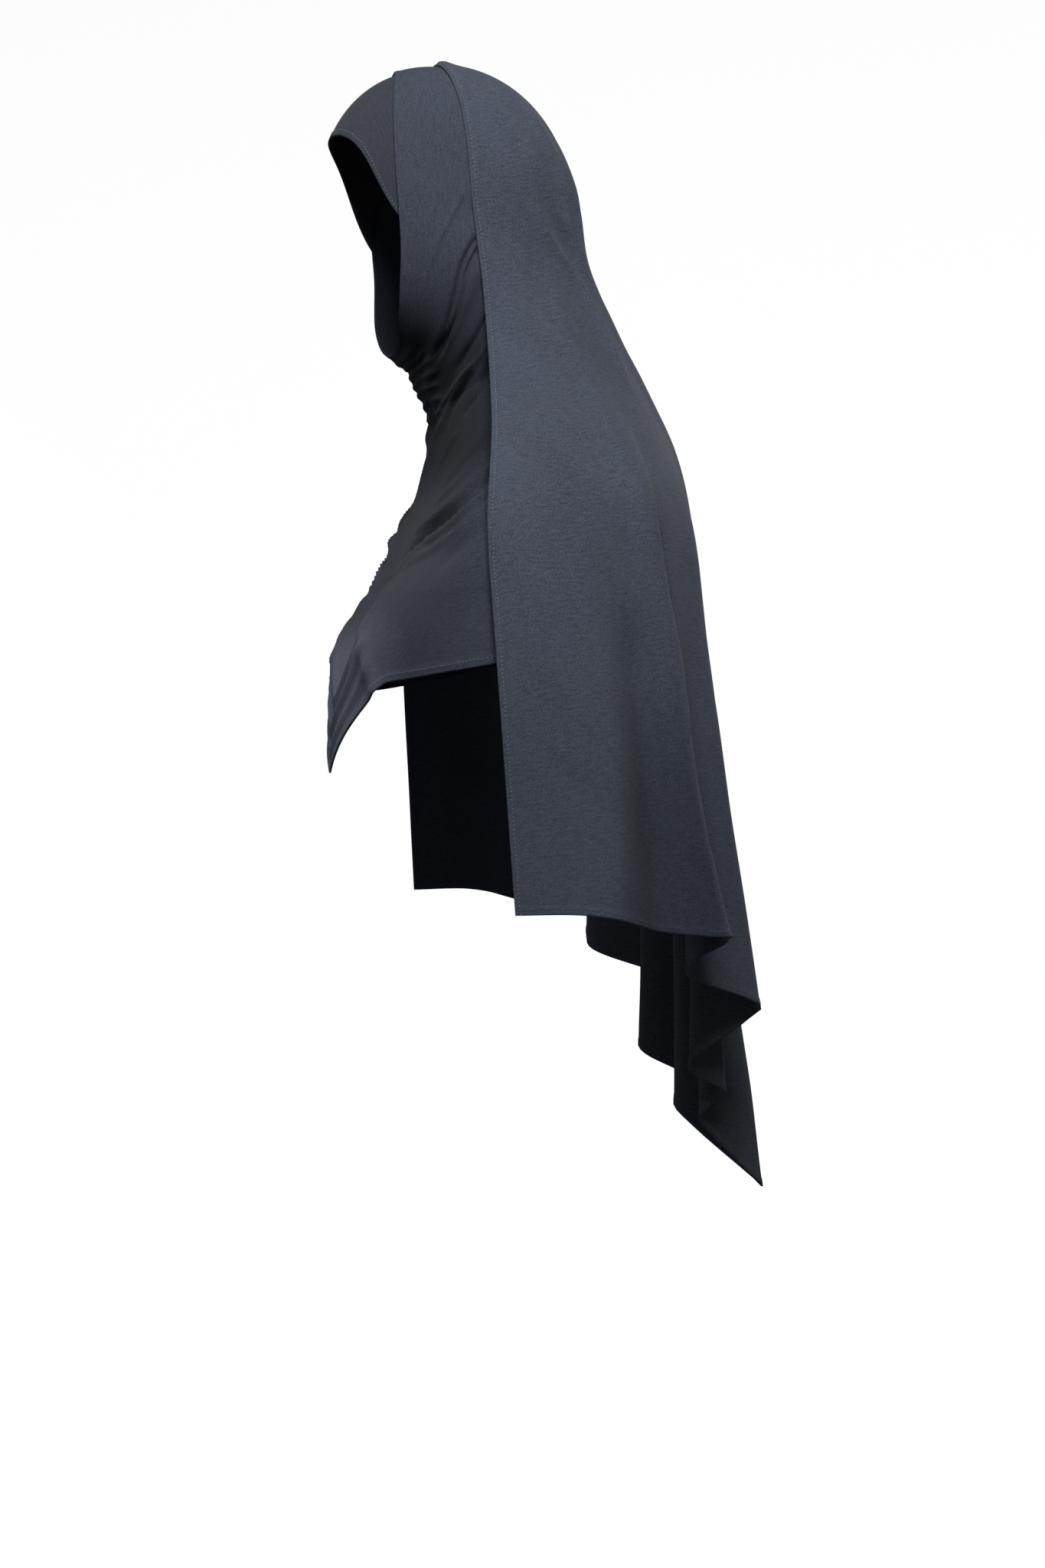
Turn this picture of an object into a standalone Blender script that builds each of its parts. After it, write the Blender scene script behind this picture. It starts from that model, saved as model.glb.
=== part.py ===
"""A jersey hijab in the form it has on a head: an under cap, a neck wrap and an outer shawl.

Metres, +Z up. The face looks along -Y and the wearer's left is +X. The origin is the underside
of the cap at the crown, where the hijab sits on a head.
"""

import math
from collections import namedtuple

import bmesh
import bpy
import numpy as np

# The head that the hijab is shaped to.
HEAD_WIDTH = 0.152
HEAD_DEPTH = 0.204
HEAD_HEIGHT = 0.236
HEAD_SET_BACK = 0.0035
HEAD_LEAN = 0.006
HEAD_FULLNESS = 2.15

# The cloth, and the air between two layers of it.
CLOTH = 0.0015
LAYER_GAP = 0.0011
TUCK_GAP = 0.007

# The body that the hijab falls over, below the head.
SHOULDER_WIDTH = 0.416
SHOULDER_DROP = 0.417
CHEST_DEPTH = 0.094
BACK_DEPTH = 0.206

# The under cap, in degrees round the head's side-to-side axis, 0 ahead and 90 up.
CAP_BROW_ANGLE = 29.0
CAP_TEMPLE_FALL = 45.0
CAP_TEMPLE_TURN = 5.0
CAP_REAR_ANGLE = 118.0
CAP_SIDE_ANGLE = 62.0

# The neck wrap with its bib.
BIB_FALL = 0.089
BIB_POINT = 0.064
BIB_POINT_ANGLE = 34.0

# The outer shawl.
SHAWL_FRONT_LENGTH = 0.675
SHAWL_BACK_LENGTH = 0.917
SHAWL_EDGE_SET_BACK = 0.020
SHAWL_CROWN_LEAD = 0.010
EDGE_ROLL_HEIGHT = 0.0030
EDGE_ROLL_WIDTH = 0.010

# How finely each piece is divided.
CAP_ACROSS = 22
CAP_ALONG = 9
WRAP_ROUND = 48
WRAP_ALONG = 24
SHAWL_HALF_COLUMNS = 28
SHAWL_HEAD_ROWS = 9
SHAWL_SLOPE_ROWS = 10
SHAWL_HANGING_ROWS = 7
WELD = 0.00005

# The wrap's loops, from the face edge to the bib's hem. Each loop has a top or back point, a side
# point and a throat or chest point. Widths and depths are shares of the body there, and levels
# count down it: 0 the crown, 1 the chin, 2 the shoulders, 3 the bib's hem.
Loop = namedtuple("Loop", "along back_y back_level side_x side_y side_level front_y front_level")
WRAP_LOOPS = (
    Loop(0.00, -0.37, 0.00, 0.96, -0.48, 0.64, -0.41, 0.97),
    Loop(0.08, 0.06, 0.00, 1.00, -0.28, 0.65, -0.33, 1.00),
    Loop(0.17, 0.55, 0.04, 1.02, -0.03, 0.67, -0.24, 1.03),
    Loop(0.27, 0.94, 0.25, 1.00, 0.18, 0.73, -0.17, 1.09),
    Loop(0.37, 1.04, 0.53, 0.96, 0.36, 0.87, -0.11, 1.14),
    Loop(0.47, 1.02, 0.79, 1.05, 0.44, 0.98, -0.03, 1.24),
    Loop(0.56, 1.06, 1.00, 1.14, 0.43, 1.14, -0.05, 1.34),
    Loop(0.67, 0.96, 1.27, 1.12, 0.38, 1.44, -0.19, 1.58),
    Loop(0.79, 0.94, 1.52, 1.04, 0.32, 1.77, -0.47, 1.93),
    Loop(0.90, 0.86, 1.82, 0.94, 0.29, 2.15, -0.90, 2.43),
    Loop(1.00, 0.82, 2.34, 0.96, 0.30, 2.69, -1.00, 3.00),
)

# Folds are ridges, mirrored, from one place on the flat sheet to another. Side is a share of half
# the sheet, along is a share of its length, width is a share of both, and height is a share of the
# head's width. On the wrap side goes from the back to the front, and along from the face edge.
Fold = namedtuple("Fold", "side_from along_from side_to along_to width height")
WRAP_FOLDS = (
    Fold(0.53, 0.10, 0.98, 0.36, 0.060, 0.030),
    Fold(0.56, 0.24, 1.00, 0.47, 0.065, 0.036),
    Fold(0.58, 0.36, 1.00, 0.58, 0.065, 0.038),
    Fold(0.60, 0.60, 0.93, 0.86, 0.080, 0.050),
    Fold(0.62, 0.68, 0.84, 0.96, 0.080, 0.040),
)

# On the shawl side goes from the front edge to the back, and along from the crown.
SHAWL_FOLDS = (
    Fold(0.44, 0.16, 0.72, 0.44, 0.050, 0.024),
    Fold(0.60, 0.20, 0.86, 0.62, 0.050, 0.026),
    Fold(0.30, 0.42, 0.44, 0.72, 0.055, 0.018),
)

# How the shawl widens from the head, row 0, to the shoulders. Spread and lean go from the head's
# half width and back to the shoulders', and edge is a share of the set back of the front edge.
Slope = namedtuple("Slope", "drop spread lean edge")
SHAWL_SLOPES = (
    Slope(0.00, 0.00, 0.00, 0.45),
    Slope(0.14, 0.02, 0.05, 0.75),
    Slope(0.22, 0.04, 0.16, 0.90),
    Slope(0.31, 0.09, 0.32, 0.98),
    Slope(0.41, 0.18, 0.50, 1.00),
    Slope(0.52, 0.34, 0.66, 0.90),
    Slope(0.64, 0.58, 0.82, 0.65),
    Slope(0.75, 0.79, 0.92, 0.30),
    Slope(0.88, 0.94, 0.98, 0.02),
    Slope(1.00, 1.00, 1.00, 0.00),
)

# The shawl's hem, from the front corner to the tip at the middle of the back: the share of the
# half cloth, the place as shares of the shoulders' half width and back, and how far down it is
# from the front length to the back length.
HemPoint = namedtuple("HemPoint", "share side back fall")
SHAWL_HEM = (
    HemPoint(0.00, 1.08, 0.06, 0.00),
    HemPoint(0.14, 1.13, 0.29, 0.00),
    HemPoint(0.27, 1.11, 0.49, 0.03),
    HemPoint(0.42, 0.99, 0.78, 0.08),
    HemPoint(0.50, 0.91, 0.89, 0.10),
    HemPoint(0.58, 0.77, 0.78, 0.20),
    HemPoint(0.69, 0.51, 1.12, 0.35),
    HemPoint(0.78, 0.38, 0.90, 0.54),
    HemPoint(0.85, 0.27, 1.06, 0.64),
    HemPoint(0.92, 0.17, 1.02, 0.75),
    HemPoint(1.00, 0.00, 1.32, 1.00),
)

# The finishes: colour, roughness and metallic value.
Finish = namedtuple("Finish", "colour roughness metallic")
CAP_FINISH = Finish((0.053, 0.059, 0.075), 0.90, 0.0)
WRAP_FINISH = Finish((0.056, 0.063, 0.080), 0.88, 0.0)
SHAWL_FINISH = Finish((0.058, 0.065, 0.082), 0.92, 0.0)


def smooth_step(value):
    """0 up to 0 and 1 from 1 on, with a smooth rise between."""
    value = np.clip(value, 0.0, 1.0)
    return value * value * (3.0 - 2.0 * value)


def column(table, name):
    """One named column of a table."""
    return np.array([getattr(row, name) for row in table])


def along_curve(knots, values, at):
    """A smooth curve through the values at the knots, read at other places."""
    slopes = np.gradient(values, knots)
    before = np.clip(np.searchsorted(knots, at) - 1, 0, len(knots) - 2)
    step = knots[before + 1] - knots[before]
    t = np.clip((at - knots[before]) / step, 0.0, 1.0)
    start, end = values[before], values[before + 1]
    rise_start, rise_end = slopes[before] * step, slopes[before + 1] * step
    turn = t * t * (3.0 - 2.0 * t)
    return (
        start * (1.0 - turn)
        + end * turn
        + rise_start * t * (1.0 - t) ** 2
        - rise_end * t * t * (1.0 - t)
    )


def layer_offset(layer):
    """How far the middle of a layer of cloth is from the head, counting from 0 for the cap."""
    return CLOTH / 2 + layer * (CLOTH + LAYER_GAP)


def half_sizes(offset):
    """The half width, half depth and half height of the head with cloth of this offset on it."""
    return np.array((HEAD_WIDTH, HEAD_DEPTH, HEAD_HEIGHT)) / 2 + offset


def head_centre():
    return np.array((0.0, HEAD_SET_BACK, -HEAD_HEIGHT / 2))


def lean_of_head(rise):
    """How far the head leans ahead at a share of the way from its middle, 0, to the crown, 1."""
    return HEAD_LEAN * np.clip(rise, 0.0, None)


def on_head(points, offset):
    """The points moved straight out from, or in to, the middle of the head onto its surface."""
    out = points - head_centre()
    out[:, 1] += lean_of_head(out[:, 2] / (HEAD_HEIGHT / 2))
    shares = np.abs(out) / half_sizes(offset)
    reach = (shares**HEAD_FULLNESS).sum(axis=1) ** (1.0 / HEAD_FULLNESS)
    out /= np.maximum(reach, 1e-9)[:, None]
    out[:, 1] -= lean_of_head(out[:, 2] / (HEAD_HEIGHT / 2))
    return head_centre() + out


def level_height(level):
    """The height of a level: 0 the crown, 1 the chin, 2 the shoulders, 3 the bib's hem."""
    drops = (0.0, HEAD_HEIGHT, SHOULDER_DROP, SHOULDER_DROP + BIB_FALL)
    return -np.interp(level, range(len(drops)), drops)


def between_head_and_shoulders(level, head_size, shoulder_size):
    return np.interp(level, (1, 2), (head_size, shoulder_size))


def body_width(level):
    return between_head_and_shoulders(level, HEAD_WIDTH / 2, SHOULDER_WIDTH / 2)


def body_depth(level, share):
    """The depth that a share of it counts in: the chest's ahead of the middle, the back's behind."""
    ahead = between_head_and_shoulders(level, HEAD_DEPTH / 2, CHEST_DEPTH)
    behind = between_head_and_shoulders(level, HEAD_DEPTH / 2, BACK_DEPTH)
    return np.where(share < 0, ahead, behind)


def shawl_section(drop):
    """The shawl's half width, front edge and back at a distance below the crown.

    Down to the middle of the head it follows the head, and from there the slopes.
    """
    half_width, half_depth, half_height = half_sizes(layer_offset(2))
    top = layer_offset(2)
    rise = np.clip((HEAD_HEIGHT / 2 - drop) / (HEAD_HEIGHT / 2 + top), 0.0, 1.0)
    round_share = (1.0 - rise**HEAD_FULLNESS) ** (1.0 / HEAD_FULLNESS)
    share = (drop - HEAD_HEIGHT / 2) / (SHOULDER_DROP - HEAD_HEIGHT / 2)
    knots = column(SHAWL_SLOPES, "drop")
    spread = along_curve(knots, column(SHAWL_SLOPES, "spread"), share)
    lean = along_curve(knots, column(SHAWL_SLOPES, "lean"), share)
    edge = along_curve(knots, column(SHAWL_SLOPES, "edge"), share)
    edge = np.where(share < 0, SHAWL_SLOPES[0].edge * (1.0 - rise), edge)
    width = half_width * round_share * (1.0 - spread) + SHOULDER_WIDTH / 2 * spread
    head_back = HEAD_SET_BACK - lean_of_head(rise) + half_depth * round_share
    back = head_back * (1.0 - lean) + BACK_DEPTH * lean
    front = HEAD_SET_BACK * (1.0 - spread) + edge * (SHAWL_EDGE_SET_BACK - HEAD_SET_BACK)
    front -= SHAWL_CROWN_LEAD * rise**4
    return width, front, back


def round_section(width, front, back, share):
    """Places round half a section, from its front edge, 0, to the middle of its back, 1."""
    angle = share * math.pi / 2
    fullness = 2.0 / HEAD_FULLNESS
    x = width * np.clip(np.cos(angle), 0.0, 1.0) ** fullness
    y = front + (back - front) * np.clip(np.sin(angle), 0.0, 1.0) ** fullness
    return x, y


def tucked(points):
    """Points of the wrap that lie under the shawl, kept a gap inside it."""
    width, front, back = shawl_section(-points[:, 2])
    behind = np.maximum(points[:, 1] - front, 0.0)
    reach = np.abs(points[:, 0] / (width - TUCK_GAP)) ** HEAD_FULLNESS
    reach += (behind / (back - front - TUCK_GAP)) ** HEAD_FULLNESS
    reach = reach ** (1.0 / HEAD_FULLNESS)
    under = (points[:, 2] < -HEAD_HEIGHT / 2) & (reach > 1.0)
    scale = np.where(under, 1.0 / np.maximum(reach, 1.0), 1.0)
    points[:, 0] *= scale
    points[:, 1] = np.where(behind > 0, front + behind * scale, points[:, 1])
    return points


def grid_normals(place, u, v):
    """The directions across a sheet at the shares u and v, from places close beside them."""
    step = 0.004
    along_u = place(u + step, v) - place(u - step, v)
    along_v = place(u, v + step) - place(u, v - step)
    normals = np.cross(along_u, along_v)
    return normals / np.maximum(np.linalg.norm(normals, axis=1), 1e-12)[:, None]


def cap_place(u, v):
    """The cap: u runs from one temple to the other, and v from the face hem to the rear hem."""
    side = 2.0 * u - 1.0
    hem = CAP_BROW_ANGLE - CAP_TEMPLE_FALL * np.abs(side) ** CAP_TEMPLE_TURN
    turn = np.radians(hem + (CAP_REAR_ANGLE - hem) * v)
    lean = np.radians(side * CAP_SIDE_ANGLE)
    out = np.stack((np.sin(lean), -np.cos(lean) * np.cos(turn), np.cos(lean) * np.sin(turn)), 1)
    offset = layer_offset(0)
    return on_head(head_centre() + out * half_sizes(offset), offset)


def wrap_body(u, v):
    """The wrap without its folds: u goes round from the back, and v from face edge to hem."""
    knots = column(WRAP_LOOPS, "along")
    row = {name: along_curve(knots, column(WRAP_LOOPS, name), v) for name in Loop._fields[1:]}
    angle = 2.0 * math.pi * u
    back_y = HEAD_SET_BACK + row["back_y"] * body_depth(row["back_level"], row["back_y"])
    side_y = HEAD_SET_BACK + row["side_y"] * body_depth(row["side_level"], row["side_y"])
    front_y = HEAD_SET_BACK + row["front_y"] * body_depth(row["front_level"], row["front_y"])
    back_z, side_z, front_z = (
        level_height(row[name]) for name in ("back_level", "side_level", "front_level")
    )
    across = np.sin(angle)
    turn = np.cos(angle)
    x = row["side_x"] * body_width(row["side_level"]) * across
    y = (back_y + front_y) / 2 + (back_y - front_y) / 2 * turn
    y += (side_y - (back_y + front_y) / 2) * across**2
    z = (back_z + front_z) / 2 + (back_z - front_z) / 2 * turn
    z += (side_z - (back_z + front_z) / 2) * across**2
    points = np.stack((x, y, z), 1)
    close = smooth_step((z / HEAD_HEIGHT + 0.86) / 0.26)[:, None]
    points += (on_head(points, layer_offset(1)) - points) * close
    from_front = np.degrees(np.abs(angle - math.pi))
    point = np.clip(1.0 - from_front / BIB_POINT_ANGLE, 0.0, 1.0) ** 1.15
    points[:, 2] -= BIB_POINT * point * smooth_step((v - 0.72) / 0.28)
    return points


def fold_lift(folds, side, along):
    """How far the folds lift the cloth at the shares side and along."""
    height = np.zeros_like(along)
    for fold in folds:
        start = np.array((fold.side_from, fold.along_from))
        run = np.array((fold.side_to, fold.along_to)) - start
        away = np.stack((side, along), 1) - start
        share = away @ run / (run @ run)
        gap = np.abs(away[:, 0] * run[1] - away[:, 1] * run[0]) / np.linalg.norm(run)
        fade = smooth_step(share / 0.2) * smooth_step((1.15 - share) / 0.3)
        height += fold.height * HEAD_WIDTH * fade * np.exp(-((gap / fold.width) ** 2))
    return height


def wrap_place(u, v):
    """The wrap with its folds, tucked under the shawl."""
    side = 1.0 - np.abs(1.0 - 2.0 * u)
    lift = fold_lift(WRAP_FOLDS, side, v)
    return tucked(wrap_body(u, v) + grid_normals(wrap_body, u, v) * lift[:, None])


def shawl_row(v):
    """The kind of row at the share v: the drop of the head and slope rows, and the hanging share."""
    rows = SHAWL_HEAD_ROWS + SHAWL_SLOPE_ROWS + SHAWL_HANGING_ROWS
    on_the_head = SHAWL_HEAD_ROWS / rows
    above_hanging = (SHAWL_HEAD_ROWS + SHAWL_SLOPE_ROWS) / rows
    top = layer_offset(2)
    elevation = np.clip(1.0 - v / on_the_head, 0.0, 1.0) * math.pi / 2
    head_drop = HEAD_HEIGHT / 2 - (HEAD_HEIGHT / 2 + top) * np.sin(elevation)
    slope = np.clip((v - on_the_head) / (above_hanging - on_the_head), 0.0, 1.0)
    slope_drop = HEAD_HEIGHT / 2 + slope * (SHOULDER_DROP - HEAD_HEIGHT / 2)
    drop = np.where(v < on_the_head, head_drop, slope_drop)
    hanging = np.clip((v - above_hanging) / (1.0 - above_hanging), 0.0, None)
    return drop, hanging


def shawl_body(u, v):
    """The shawl without its rolled edge: u goes from the left front edge to the right one."""
    side = np.sign(0.5 - u)
    share = np.clip(1.0 - np.abs(2.0 * u - 1.0), 0.0, 1.0)
    drop, hanging = shawl_row(np.maximum(v, 0.0))
    x, y = round_section(*shawl_section(drop), share)
    z = -drop
    knots = column(SHAWL_HEM, "share")
    hem_x = along_curve(knots, column(SHAWL_HEM, "side"), share) * SHOULDER_WIDTH / 2
    hem_y = HEAD_SET_BACK + along_curve(knots, column(SHAWL_HEM, "back"), share) * BACK_DEPTH
    fall = along_curve(knots, column(SHAWL_HEM, "fall"), share)
    hem_z = -(SHAWL_FRONT_LENGTH + fall * (SHAWL_BACK_LENGTH - SHAWL_FRONT_LENGTH))
    x = x + (hem_x - x) * hanging
    y = y + (hem_y - y) * hanging
    z = z + (hem_z - z) * hanging
    return np.stack((side * x, y, z), 1)


def shawl_place(u, v):
    """The shawl with its folds, and with its front edge rolled over on the head."""
    points = shawl_body(u, v)
    front = shawl_section(-points[:, 2])[1]
    roll = np.exp(-(((points[:, 1] - front) / EDGE_ROLL_WIDTH) ** 2))
    roll *= smooth_step(1.6 + points[:, 2] / (HEAD_HEIGHT / 2))
    lifted = on_head(points, layer_offset(2) + EDGE_ROLL_HEIGHT)
    share = np.clip(1.0 - np.abs(2.0 * u - 1.0), 0.0, 1.0)
    lift = fold_lift(SHAWL_FOLDS, share, v)
    lift *= smooth_step((v - 0.1) / 0.1)
    folded = grid_normals(shawl_body, np.clip(u, 0.01, 0.99), v) * -lift[:, None]
    return points + (lifted - points) * roll[:, None] + folded


def make_sheet(name, across, along, place, finish):
    """One piece of cloth: a grid put in its place, welded where its edges meet and given its wall."""
    shape = bmesh.new()
    bmesh.ops.create_grid(shape, x_segments=across, y_segments=along, size=0.5)
    shares = np.array([vertex.co[:2] for vertex in shape.verts]) + 0.5
    for vertex, point in zip(shape.verts, place(shares[:, 0], shares[:, 1])):
        vertex.co = point
    bmesh.ops.remove_doubles(shape, verts=shape.verts, dist=WELD)
    mesh = bpy.data.meshes.new(name)
    shape.to_mesh(mesh)
    shape.free()
    mesh.shade_smooth()
    piece = bpy.data.objects.new(name, mesh)
    bpy.context.scene.collection.objects.link(piece)
    wall = piece.modifiers.new("wall", "SOLIDIFY")
    wall.thickness = CLOTH
    wall.offset = 0.0
    mesh.materials.append(make_material(name, finish))
    return piece


def make_material(name, finish):
    material = bpy.data.materials.new(name)
    material.use_nodes = True
    shader = material.node_tree.nodes["Principled BSDF"]
    shader.inputs["Base Color"].default_value = (*finish.colour, 1.0)
    shader.inputs["Roughness"].default_value = finish.roughness
    shader.inputs["Metallic"].default_value = finish.metallic
    return material


def clear_scene():
    for thing in list(bpy.data.objects):
        bpy.data.objects.remove(thing, do_unlink=True)


def main():
    clear_scene()
    shawl_rows = SHAWL_HEAD_ROWS + SHAWL_SLOPE_ROWS + SHAWL_HANGING_ROWS
    make_sheet("under_cap", CAP_ACROSS, CAP_ALONG, cap_place, CAP_FINISH)
    make_sheet("neck_wrap", WRAP_ROUND, WRAP_ALONG, wrap_place, WRAP_FINISH)
    make_sheet("outer_shawl", 2 * SHAWL_HALF_COLUMNS, shawl_rows, shawl_place, SHAWL_FINISH)


main()
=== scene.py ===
"""The looks of a jersey hijab: an under cap, a neck wrap with a pointed bib, and an outer shawl.

Metres, +Z up. The face looks along -Y and the wearer's left is +X. The origin is the underside
of the cap at the crown, where the hijab sits on a head.
"""

import logging
import math
from dataclasses import dataclass
from enum import Enum
from typing import Callable, NamedTuple, Sequence

import bmesh
import bpy
import numpy as np
from mathutils import Matrix, Vector, noise
from mathutils.bvhtree import BVHTree


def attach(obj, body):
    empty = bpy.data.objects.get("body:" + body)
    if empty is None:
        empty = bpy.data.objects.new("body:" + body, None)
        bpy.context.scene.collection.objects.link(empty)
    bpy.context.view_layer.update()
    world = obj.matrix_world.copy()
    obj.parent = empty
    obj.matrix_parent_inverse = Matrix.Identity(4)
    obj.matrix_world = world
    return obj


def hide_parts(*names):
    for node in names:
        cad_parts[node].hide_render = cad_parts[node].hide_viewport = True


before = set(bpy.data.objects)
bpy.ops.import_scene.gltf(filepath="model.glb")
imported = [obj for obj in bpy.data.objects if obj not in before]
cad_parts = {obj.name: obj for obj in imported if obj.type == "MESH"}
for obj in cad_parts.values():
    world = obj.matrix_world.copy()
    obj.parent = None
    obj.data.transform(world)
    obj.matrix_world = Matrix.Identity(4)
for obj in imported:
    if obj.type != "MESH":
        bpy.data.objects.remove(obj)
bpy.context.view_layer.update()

PHOTO_HEIGHT = 2048

log = logging.getLogger("jersey_hijab")


# Small helpers


def smooth_step(value: np.ndarray | float) -> np.ndarray:
    """0 up to 0 and 1 from 1 on, with a smooth rise between."""
    value = np.clip(value, 0.0, 1.0)
    return value * value * (3.0 - 2.0 * value)


class Span(NamedTuple):
    """Where a smooth change starts, and over how much it takes place."""

    start: float
    over: float

    def rise(self, value: np.ndarray) -> np.ndarray:
        """0 up to the start, and 1 once the change has taken place."""
        return smooth_step((value - self.start) / self.over)

    def fall(self, value: np.ndarray) -> np.ndarray:
        """0 from the start on, and 1 below it by more than the change takes."""
        return smooth_step((self.start - value) / self.over)


def column(table: Sequence[NamedTuple], name: str) -> np.ndarray:
    """One named column of a table."""
    return np.array([getattr(row, name) for row in table])


def along_curve(knots: np.ndarray, values: np.ndarray, at: np.ndarray) -> np.ndarray:
    """A smooth curve through the values at the knots, read at other places.

    Args:
        knots: where the values are, in rising order.
        values: the value at each knot.
        at: the places to read.

    Returns:
        The curve's value at each place.
    """
    slopes = np.gradient(values, knots)
    before = np.clip(np.searchsorted(knots, at) - 1, 0, len(knots) - 2)
    step = knots[before + 1] - knots[before]
    t = np.clip((at - knots[before]) / step, 0.0, 1.0)
    start, end = values[before], values[before + 1]
    turn = t * t * (3.0 - 2.0 * t)
    rise = slopes[before] * step * t * (1.0 - t) ** 2
    return start * (1.0 - turn) + end * turn + rise - slopes[before + 1] * step * t * t * (1.0 - t)


def spread_shares(count: int, border: float, lines: int) -> np.ndarray:
    """Shares from 0 to 1 that lie closer together within a border at both ends.

    Args:
        count: how many steps there are in all.
        border: the share that each border takes.
        lines: how many of the steps lie in each border.

    Returns:
        The count + 1 shares.
    """
    steps = np.linspace(0.0, count, count + 1)
    return np.interp(steps, (0, lines, count - lines, count), (0.0, border, 1.0 - border, 1.0))


def lengths_along(points: np.ndarray) -> np.ndarray:
    """How far along a line each of its points is."""
    steps = np.linalg.norm(np.diff(points, axis=0), axis=-1)
    return np.concatenate((np.zeros_like(steps[:1]), np.cumsum(steps, axis=0)))


def new_piece(name: str, shape: bmesh.types.BMesh) -> bpy.types.Object:
    """Turns a finished bmesh into a smooth piece in the scene, at the origin, and frees it."""
    mesh = bpy.data.meshes.new(name)
    shape.to_mesh(mesh)
    shape.free()
    mesh.shade_smooth()
    piece = bpy.data.objects.new(name, mesh)
    bpy.context.scene.collection.objects.link(piece)
    return piece


# The forms that the cloth lies on


@dataclass(frozen=True)
class HeadForm:
    """The head that the hijab is shaped to."""

    width: float = 0.152
    depth: float = 0.204
    height: float = 0.236
    set_back: float = 0.0035
    lean: float = 0.006
    fullness: float = 2.15

    def centre(self) -> np.ndarray:
        """The middle of the head."""
        return np.array((0.0, self.set_back, -self.height / 2))

    def half_sizes(self, offset: float) -> np.ndarray:
        """The half width, half depth and half height with cloth of this offset on the head."""
        return np.array((self.width, self.depth, self.height)) / 2 + offset

    def lean_at(self, rise: np.ndarray) -> np.ndarray:
        """How far the head leans ahead at a share of the way from its middle to the crown."""
        return self.lean * np.clip(rise, 0.0, None)

    def seat(self, points: np.ndarray, offset: float) -> np.ndarray:
        """Moves points straight out from the middle of the head, or in to it, onto its surface.

        Args:
            points: the places, one a row.
            offset: how far the surface is outside the bare head.

        Returns:
            The moved places.
        """
        out = points - self.centre()
        out[:, 1] += self.lean_at(out[:, 2] / (self.height / 2))
        reach = (np.abs(out) / self.half_sizes(offset)) ** self.fullness
        out /= np.maximum(reach.sum(axis=1) ** (1.0 / self.fullness), 1e-9)[:, None]
        out[:, 1] -= self.lean_at(out[:, 2] / (self.height / 2))
        return self.centre() + out


@dataclass(frozen=True)
class BodyForm:
    """The neck, shoulders and chest below the head, as the hijab falls over them."""

    head: HeadForm = HeadForm()
    shoulder_width: float = 0.416
    shoulder_drop: float = 0.417
    chest_depth: float = 0.094
    back_depth: float = 0.206
    bib_fall: float = 0.089

    def level_height(self, level: np.ndarray) -> np.ndarray:
        """The height of a level: 0 the crown, 1 the chin, 2 the shoulders, 3 the bib's hem."""
        drops = (0.0, self.head.height, self.shoulder_drop, self.shoulder_drop + self.bib_fall)
        return -np.interp(level, range(len(drops)), drops)

    def half_width(self, level: np.ndarray) -> np.ndarray:
        """The half width that a share of it counts in, at a level."""
        return np.interp(level, (1, 2), (self.head.width / 2, self.shoulder_width / 2))

    def depth(self, level: np.ndarray, share: np.ndarray) -> np.ndarray:
        """The depth that a share counts in: the chest's ahead of the middle, the back's behind."""
        ahead = np.interp(level, (1, 2), (self.head.depth / 2, self.chest_depth))
        behind = np.interp(level, (1, 2), (self.head.depth / 2, self.back_depth))
        return np.where(share < 0, ahead, behind)


@dataclass(frozen=True)
class ClothGauge:
    """How the layers of cloth lie on each other, and how thick they are made here."""

    wall: float = 0.0015
    gap: float = 0.0011
    tuck: float = 0.007
    shown_wall: float = 0.0009
    hem_wall: float = 0.0018

    def offset(self, layer: int) -> float:
        """How far the middle of a layer is from the head, counting from 0 for the cap."""
        return self.wall / 2 + layer * (self.wall + self.gap)


# Folds

PATH_STEPS = 40
CREASE_REACH = 4
FOLD_END = Span(1.15, 0.3)


class Side(Enum):
    """Which way a fold stands."""

    OUT = 1.0
    IN = -1.0


class MainFold(NamedTuple):
    """A main ridge of the cloth, from one place on the flat sheet to another, as the CAD has it."""

    side_from: float
    along_from: float
    side_to: float
    along_to: float
    width: float
    height: float


@dataclass(frozen=True)
class Crease:
    """A finer fold that follows a path on the cloth.

    Attributes:
        path: places as the side and along shares of the sheet.
        width: half the fold's width, in metres.
        height: how far it stands, in metres.
        way: whether it is a ridge or a valley.
        keen: 2 for a soft fold, and less for one with a sharper top.
        start_fade: the share of its length in which it rises.
        end_fade: the share of its length in which it dies away.
        lean: makes one flank steeper, from -1 to 1.
    """

    path: tuple[tuple[float, float], ...]
    width: float
    height: float
    way: Side = Side.OUT
    keen: float = 2.0
    start_fade: float = 0.25
    end_fade: float = 0.25
    lean: float = 0.0


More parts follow.
